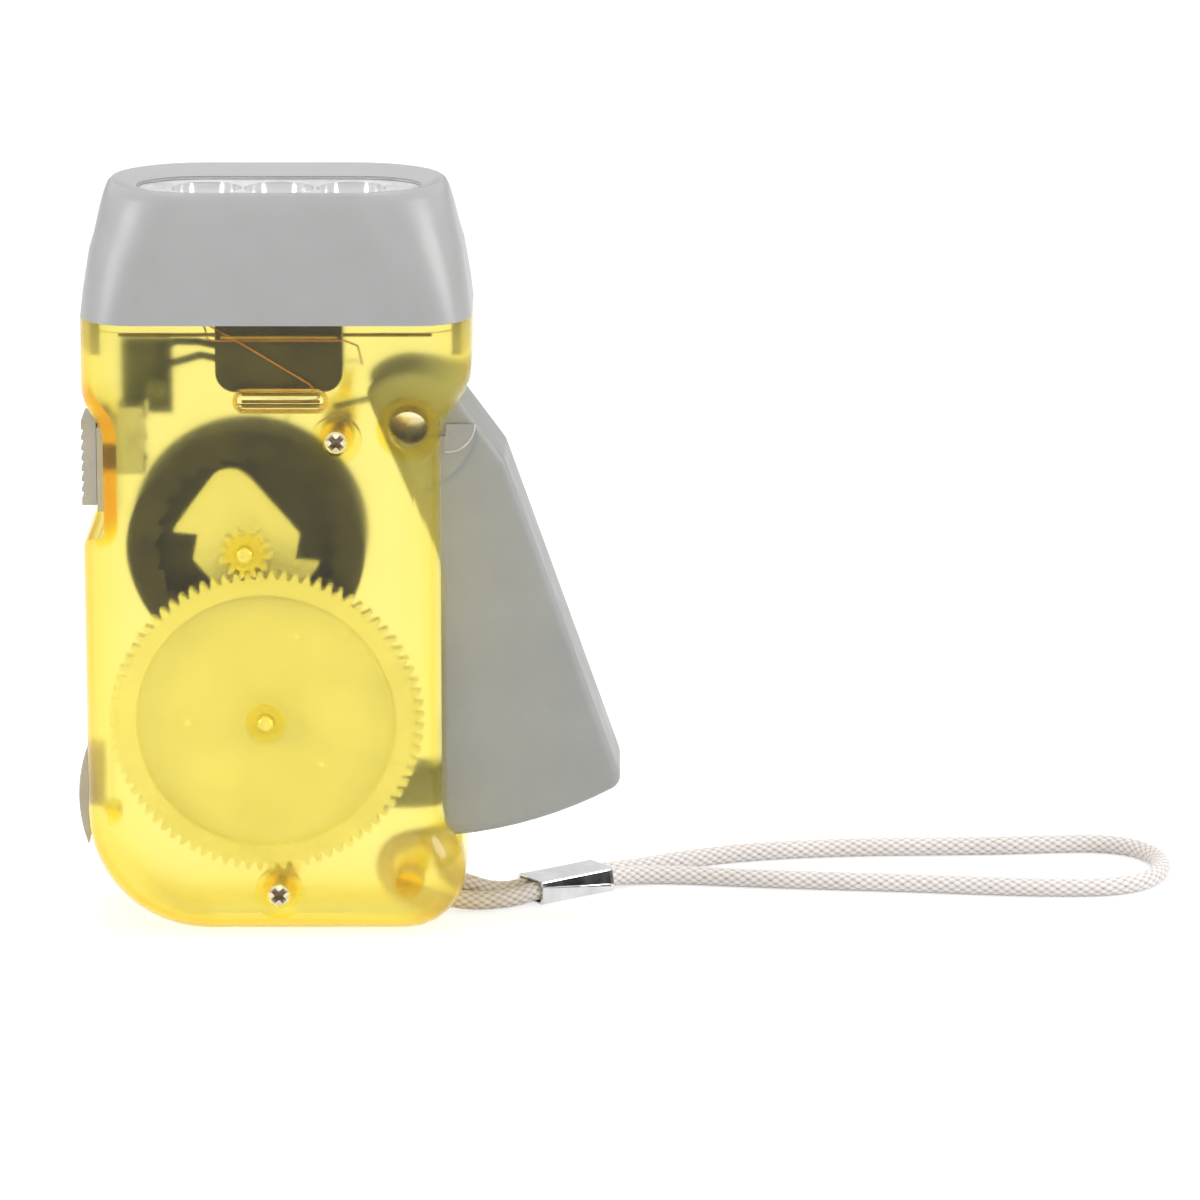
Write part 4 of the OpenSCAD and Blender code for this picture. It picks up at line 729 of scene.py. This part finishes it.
for pin_name, replaced, pin_x, pin_z in (("gear_pin", "gear_axle", -1.981, 29.053),
                                         ("flywheel_pin", "flywheel_axle", -4.465, 51.918)):
    verts = []
    for r, y in pin_profile:
        for k in range(pin_sides):
            angle = math.tau * k / pin_sides
            verts.append(Vector((pin_x + r * math.cos(angle), y, pin_z + r * math.sin(angle))) * mm)
    pin_mesh = plain_mesh(pin_name, verts, tube_faces(pin_sides, len(pin_profile)), smooth=False)
    shape = bmesh.new()
    shape.from_mesh(pin_mesh)
    bmesh.ops.remove_doubles(shape, verts=shape.verts, dist=0.001 * mm)
    shape.to_mesh(pin_mesh)
    shape.free()
    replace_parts(show_mesh(pin_name, outward(pin_mesh), "root", axle_steel), replaced)
mark_radius, mark_y, mark_sides, mark_rings, ring_lean = 0.42, -9.28, 16, 6, 15
mark_verts, mark_faces = [], []
for mark_x, mark_z in ((2.2, 40.4), (-12.3, 28.6), (5.3, 22.8)):
    first_vert = len(mark_verts)
    for ring in range(mark_rings):
        lean = math.radians(ring_lean * ring)
        for k in range(mark_sides):
            angle = math.tau * k / mark_sides
            mark_verts.append(Vector((mark_x + mark_radius * math.cos(lean) * math.cos(angle),
                                      mark_y - mark_radius * 0.5 * math.sin(lean),
                                      mark_z + mark_radius * math.cos(lean) * math.sin(angle))) * mm)
    mark_faces += [tuple(first_vert + v for v in face) for face in tube_faces(mark_sides, mark_rings)]
    mark_faces.append(tuple(first_vert + (mark_rings - 1) * mark_sides + k for k in range(mark_sides)))
    mark_faces.append(tuple(first_vert + k for k in reversed(range(mark_sides))))
gate_white = finished(
    "gate_marks", (0.93, 0.92, 0.85), 0.4, tones=(1 * mm, (0.90, 0.89, 0.80), (0.96, 0.95, 0.90)),
    gloss=(1 * mm, 0.32, 0.48), grain=(0.2 * mm, 0.01 * mm))
marks_mesh = outward(plain_mesh("gear_gate_marks", mark_verts, mark_faces))
show_mesh("gear_gate_marks", marks_mesh, "drive_gear", gate_white)

# Flywheel and magnet
# A heavy turned ring of dark iron that runs free on its pin, with a ring
# magnet of black sintered powder pressed on its hub.
iron = shaded("flywheel_iron", (0.040, 0.038, 0.030), 0.5, metallic=0.2, specular_ior_level=0.4)
mottled(iron, 4 * mm, (0.028, 0.027, 0.021), (0.055, 0.052, 0.042))
uneven_gloss(iron, 2 * mm, 0.4, 0.6)
round_pin = add_node(iron, "Mapping", {"Vector": add_node(iron, "TexCoord").outputs["Object"],
                                       "Location": (4.465 * mm, 0, -51.918 * mm)})
turned = add_node(iron, "TexWave", {"Vector": round_pin.outputs["Vector"], "Scale": 900.0, "Distortion": 0.4},
                  wave_type="RINGS", rings_direction="Y")
grained(iron, 1, 0.01 * mm, height=turned.outputs["Fac"], strength=0.3)
dress(iron, "flywheel")
magnet_black = finished(
    "magnet_black", (0.03, 0.03, 0.032), 0.45, tones=(1 * mm, (0.022, 0.022, 0.024), (0.045, 0.045, 0.048)),
    gloss=(1 * mm, 0.35, 0.55), grain=(0.2 * mm, 0.01 * mm))
dress(magnet_black, "magnet_ring")

# Coil
# Enamelled copper wound in close turns on a white bobbin between two claw
# plates, with its two ends led up to the lamp board.
bobbin_white = finished(
    "bobbin_white", (0.80, 0.80, 0.76), 0.4, tones=(4 * mm, (0.75, 0.75, 0.70), (0.84, 0.84, 0.80)),
    gloss=(2 * mm, 0.34, 0.5), grain=(0.3 * mm, 0.01 * mm))
dress(bobbin_white, "coil_bobbin")
copper = finished(
    "copper", (0.72, 0.30, 0.10), 0.3, tones=(1.5 * mm, (0.50, 0.21, 0.07), (0.66, 0.32, 0.13)),
    gloss=(1 * mm, 0.24, 0.4), grain=(0.2 * mm, 0.006 * mm), metallic=0.75, coat_weight=0.5, coat_roughness=0.1)
dress(copper, "coil_winding")
turn_count = 21
turns_tree, coil = new_tree("coil_turns", {
    "Centre X": -4.46 * mm, "Centre Z": 51.92 * mm, "First turn": -0.66 * mm, "Wire": 0.28 * mm,
    "Coil radius": 11.8 * mm})
circle = tree_node(turns_tree, "GeometryNodeCurvePrimitiveCircle", {"Resolution": 96, "Radius": coil["Coil radius"]})
section = tree_node(turns_tree, "GeometryNodeCurvePrimitiveCircle", {
    "Resolution": 6, "Radius": times(turns_tree, coil["Wire"], 0.5)})
turn = tree_node(turns_tree, "GeometryNodeCurveToMesh", {"Curve": circle.outputs["Curve"],
                                                         "Profile Curve": section.outputs["Curve"]})
stood = tree_node(turns_tree, "GeometryNodeTransform", {"Geometry": turn.outputs["Mesh"],
                                                        "Rotation": (math.radians(90), 0, 0)})
stack = tree_node(turns_tree, "GeometryNodeMeshLine", {
    "Count": turn_count, "Start Location": tree_xyz(turns_tree, coil["Centre X"], coil["First turn"], coil["Centre Z"]),
    "Offset": tree_xyz(turns_tree, 0.0, coil["Wire"])})
stacked = tree_node(turns_tree, "GeometryNodeInstanceOnPoints", {"Points": stack.outputs["Mesh"],
                                                                 "Instance": stood.outputs["Geometry"]})
tree_piece(turns_tree, stacked.outputs["Instances"], "coil_turns", copper, "root")
smoothed("coil_leads", "copper_leads", copper, math.radians(180))
wire_black = finished(
    "wire_black", (0.03, 0.028, 0.026), 0.4, tones=(2 * mm, (0.02, 0.019, 0.018), (0.045, 0.042, 0.04)),
    gloss=(1 * mm, 0.32, 0.5), grain=(0.3 * mm, 0.01 * mm))
smoothed("battery_leads", "battery_wires", wire_black, math.radians(180))

# Lever spring
# A close coil of hard-drawn spring wire round the pivot. One leg bears on the
# case and the other on the lever; the real spring bends as the lever is squeezed, but this piece keeps one shape.
spring_wire = finished(
    "spring_steel", (0.42, 0.41, 0.39), 0.3, tones=(2 * mm, (0.34, 0.33, 0.31), (0.50, 0.49, 0.47)),
    gloss=(1 * mm, 0.22, 0.4), grain=(0.2 * mm, 0.006 * mm), metallic=1.0)
smoothed("lever_spring", "return_spring", spring_wire, math.radians(180),
         bend=((12.5 * mm, 0, 71.5 * mm), (20.5 * mm, 0, 65.5 * mm)))

# Case screws
# Two small self-tapping screws of bright nickel-plated steel, with a rounded
# head, a cross recess and a rolled thread.
nickel = shaded("screw_nickel", (0.74, 0.66, 0.46), 0.2, metallic=0.6)
nickel_tone = mottled(nickel, 0.8 * mm, (0.66, 0.57, 0.36), (0.84, 0.77, 0.58))
# The cross recess is painted shade: the deeper a point lies in the cross, the closer its colour goes to a dark brown.
cross_place = add_node(nickel, "Attribute", attribute_name="deep")
cross_shade = add_node(nickel, "MapRange", {"Value": cross_place.outputs["Fac"], "From Max": 0.45})
recess_painted_shade = add_node(nickel, "Mix", {0: cross_shade.outputs["Result"], 6: nickel_tone}, data_type="RGBA")
recess_painted_shade.inputs[7].default_value = (0.16, 0.115, 0.07, 1)
wire(nickel, recess_painted_shade.outputs[2], "Base Color")
uneven_gloss(nickel, 0.6 * mm, 0.14, 0.3)
grained(nickel, 0.3 * mm, 0.008 * mm)
head_radius, head_back, head_face, head_dome = 1.47 * mm, -12.92 * mm, -13.6 * mm, 0.34 * mm
cross_half, cross_reach, cross_deep, cross_middle, cross_taper = 0.34 * mm, 1.12 * mm, 0.62 * mm, 0.6 * mm, 0.75
screw_rings, screw_spokes = 36, 96


def head_height(x, z):
    """Y of the screw's face at a place on it: a low dome with a tapered cross cut in."""
    far = math.hypot(x, z) / head_radius
    y = head_face - head_dome * (1 - far * far)
    u, v = (x + z) * math.sqrt(0.5), (x - z) * math.sqrt(0.5)
    reach = max(abs(u), abs(v))
    arm = min(abs(u), abs(v))
    if (arm < cross_half and reach < cross_reach) or math.hypot(x, z) < cross_middle:
        y += cross_deep * (1 - cross_taper * reach / cross_reach)
    return y


verts, faces = [Vector((0, head_height(0, 0), 0))], []
for ring in range(1, screw_rings + 1):
    r = head_radius * ring / screw_rings
    for k in range(screw_spokes):
        x, z = r * math.cos(math.tau * k / screw_spokes), r * math.sin(math.tau * k / screw_spokes)
        verts.append(Vector((x, head_height(x, z), z)))
for k in range(screw_spokes):
    verts.append(Vector((head_radius * math.cos(math.tau * k / screw_spokes), head_back,
                         head_radius * math.sin(math.tau * k / screw_spokes))))
for k in range(screw_spokes):
    n = (k + 1) % screw_spokes
    faces.append((0, 1 + k, 1 + n))
    for ring in range(screw_rings):
        a = 1 + ring * screw_spokes
        faces.append((a + k, a + screw_spokes + k, a + screw_spokes + n, a + n))
faces.append(tuple(1 + screw_rings * screw_spokes + k for k in range(screw_spokes)))
shank_radius, thread_pitch, thread_high = 0.72 * mm, 0.8 * mm, 0.14 * mm
shank_step, shank_rings, shank_sides = 0.1 * mm, 160, 24
shank_line = [Vector((0, head_back - shank_step + shank_step * i, 0)) for i in range(shank_rings)]
more, fresh, _ = round_rod(shank_line, shank_radius, shank_sides, lambda angle, gone: (
    shank_radius + thread_high * max(0, 1 - 4 * abs((gone / thread_pitch + angle / math.tau) % 1 - 0.5))))
faces += [tuple(v + len(verts) for v in f) for f in fresh]
verts += more
screw_mesh = outward(plain_mesh("one_screw", verts, faces, smooth=False))
deep = screw_mesh.attributes.new("deep", "FLOAT", "POINT")
deep.data.foreach_set("value", [
    (v.co.y - head_face + head_dome * (1 - (v.co.x ** 2 + v.co.z ** 2) / head_radius ** 2)) / cross_deep
    if v.index <= screw_rings * screw_spokes else 0 for v in screw_mesh.vertices])
one_screw = bpy.data.objects.new("one_screw", screw_mesh)
screw_tree, screw = new_tree("screws", {
    "Upper X": 7.7 * mm, "Upper Z": 67.3 * mm, "Lower X": -0.4 * mm, "Lower Z": 5.9 * mm})
pattern = tree_node(screw_tree, "GeometryNodeObjectInfo", {"Object": one_screw})
both = tree_node(screw_tree, "GeometryNodeJoinGeometry")
for x, z in (("Upper X", "Upper Z"), ("Lower X", "Lower Z")):
    screw_tree.links.new(
        shifted(screw_tree, pattern.outputs["Geometry"], tree_xyz(screw_tree, screw[x], 0.0, screw[z])),
        both.inputs["Geometry"])
screws = tree_piece(screw_tree, both.outputs["Geometry"], "screw_pair", nickel, "root")
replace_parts(screws, "case_screws")
bpy.data.objects.remove(one_screw)

# Floor and light
# A wide pale sheet that keeps a soft shadow, a white surround, and four large
# soft lamps: one overhead, one at each side and a weak one in front.
floor_half = 4.0
floor = bpy.data.objects.new("floor", plain_mesh("floor", [
    Vector((-floor_half, -floor_half, 0)), Vector((floor_half, -floor_half, 0)),
    Vector((floor_half, floor_half, 0)), Vector((-floor_half, floor_half, 0))], [(0, 1, 2, 3)]))
bpy.context.scene.collection.objects.link(floor)
floor_sheet = bpy.data.materials.new("floor_sheet")
floor_sheet.use_nodes = True
floor_nodes = floor_sheet.node_tree.nodes
floor_nodes.remove(floor_nodes["Principled BSDF"])
lit = add_node(floor_sheet, "BsdfDiffuse", {"Color": (0.42, 0.42, 0.42, 1)})
glow = add_node(floor_sheet, "Emission", {"Color": (1, 1, 1, 1), "Strength": 0.72})
seen = add_node(floor_sheet, "AddShader", {0: lit.outputs["BSDF"], 1: glow.outputs["Emission"]})
unseen = add_node(floor_sheet, "BsdfDiffuse", {"Color": (0.85, 0.85, 0.85, 1)})


def looked_at(material):
    """1 where the eye sees the surface, straight, in gloss or through something clear."""
    rays = add_node(material, "LightPath").outputs
    either = add_node(material, "Math", {0: rays["Is Camera Ray"], 1: rays["Is Glossy Ray"]}, operation="MAXIMUM")
    return add_node(material, "Math", {0: either.outputs["Value"], 1: rays["Is Transmission Ray"]},
                    operation="MAXIMUM").outputs["Value"]


floor_mix = add_node(floor_sheet, "MixShader", {0: looked_at(floor_sheet), 1: unseen.outputs["BSDF"],
                                                2: seen.outputs["Shader"]})
floor_sheet.node_tree.links.new(floor_mix.outputs["Shader"], floor_nodes["Material Output"].inputs["Surface"])
floor.data.materials.append(floor_sheet)

world = bpy.data.worlds.new("surround")
bpy.context.scene.world = world
world.use_nodes = True
room = world.node_tree.nodes
upward = add_node(world, "SeparateXYZ", {"Vector": add_node(world, "TexCoord").outputs["Generated"]}).outputs["Z"]
dim_range = add_node(world, "ValToRGB", {"Fac": upward})
dim_stops = dim_range.color_ramp.elements
dim_stops[0].position, dim_stops[0].color = 0.0, (0.3, 0.3, 0.3, 1)
dim_stops[1].position, dim_stops[1].color = 0.62, (1, 1, 1, 1)
for place, level in ((0.04, 0.08), (0.12, 0.1), (0.18, 0.88)):
    dim_stops.new(place).color = (level, level, level, 1)
in_gloss = add_node(world, "LightPath").outputs["Is Glossy Ray"]
gloss_only = add_node(world, "Mix", {0: in_gloss, 2: 1.0, 3: dim_range.outputs["Color"]})
plain = room["Background"]
plain.inputs["Color"].default_value, plain.inputs["Strength"].default_value = (1, 1, 1, 1), 0.5
white = add_node(world, "Background", {"Color": (1, 1, 1, 1), "Strength": gloss_only.outputs[0]})
around = add_node(world, "MixShader", {0: looked_at(world), 1: plain.outputs["Background"],
                                       2: white.outputs["Background"]})
world.node_tree.links.new(around.outputs["Shader"], room["World Output"].inputs["Surface"])


def soft_lamp(name, place, size, watts):
    """A round lamp that faces the middle of the light."""
    target, data = Vector((0, 0, 0.05)), bpy.data.lights.new(name, "AREA")
    data.shape, data.size, data.energy = "DISK", size, watts
    lamp = bpy.data.objects.new(name, data)
    lamp.location = place
    lamp.rotation_euler = (target - Vector(place)).to_track_quat("-Z", "Y").to_euler()
    bpy.context.scene.collection.objects.link(lamp)


soft_lamp("lamp_over", (0, 0.1, 1.1), 0.9, 6.0)
soft_lamp("lamp_left", (-1.0, -0.3, 0.42), 0.5, 4.2)
soft_lamp("lamp_right", (1.0, -0.22, 0.44), 0.5, 4.4)
soft_lamp("lamp_front", (0.1, -1.3, 0.6), 0.6, 1.5)

bpy.context.scene.view_settings.view_transform = "Standard"
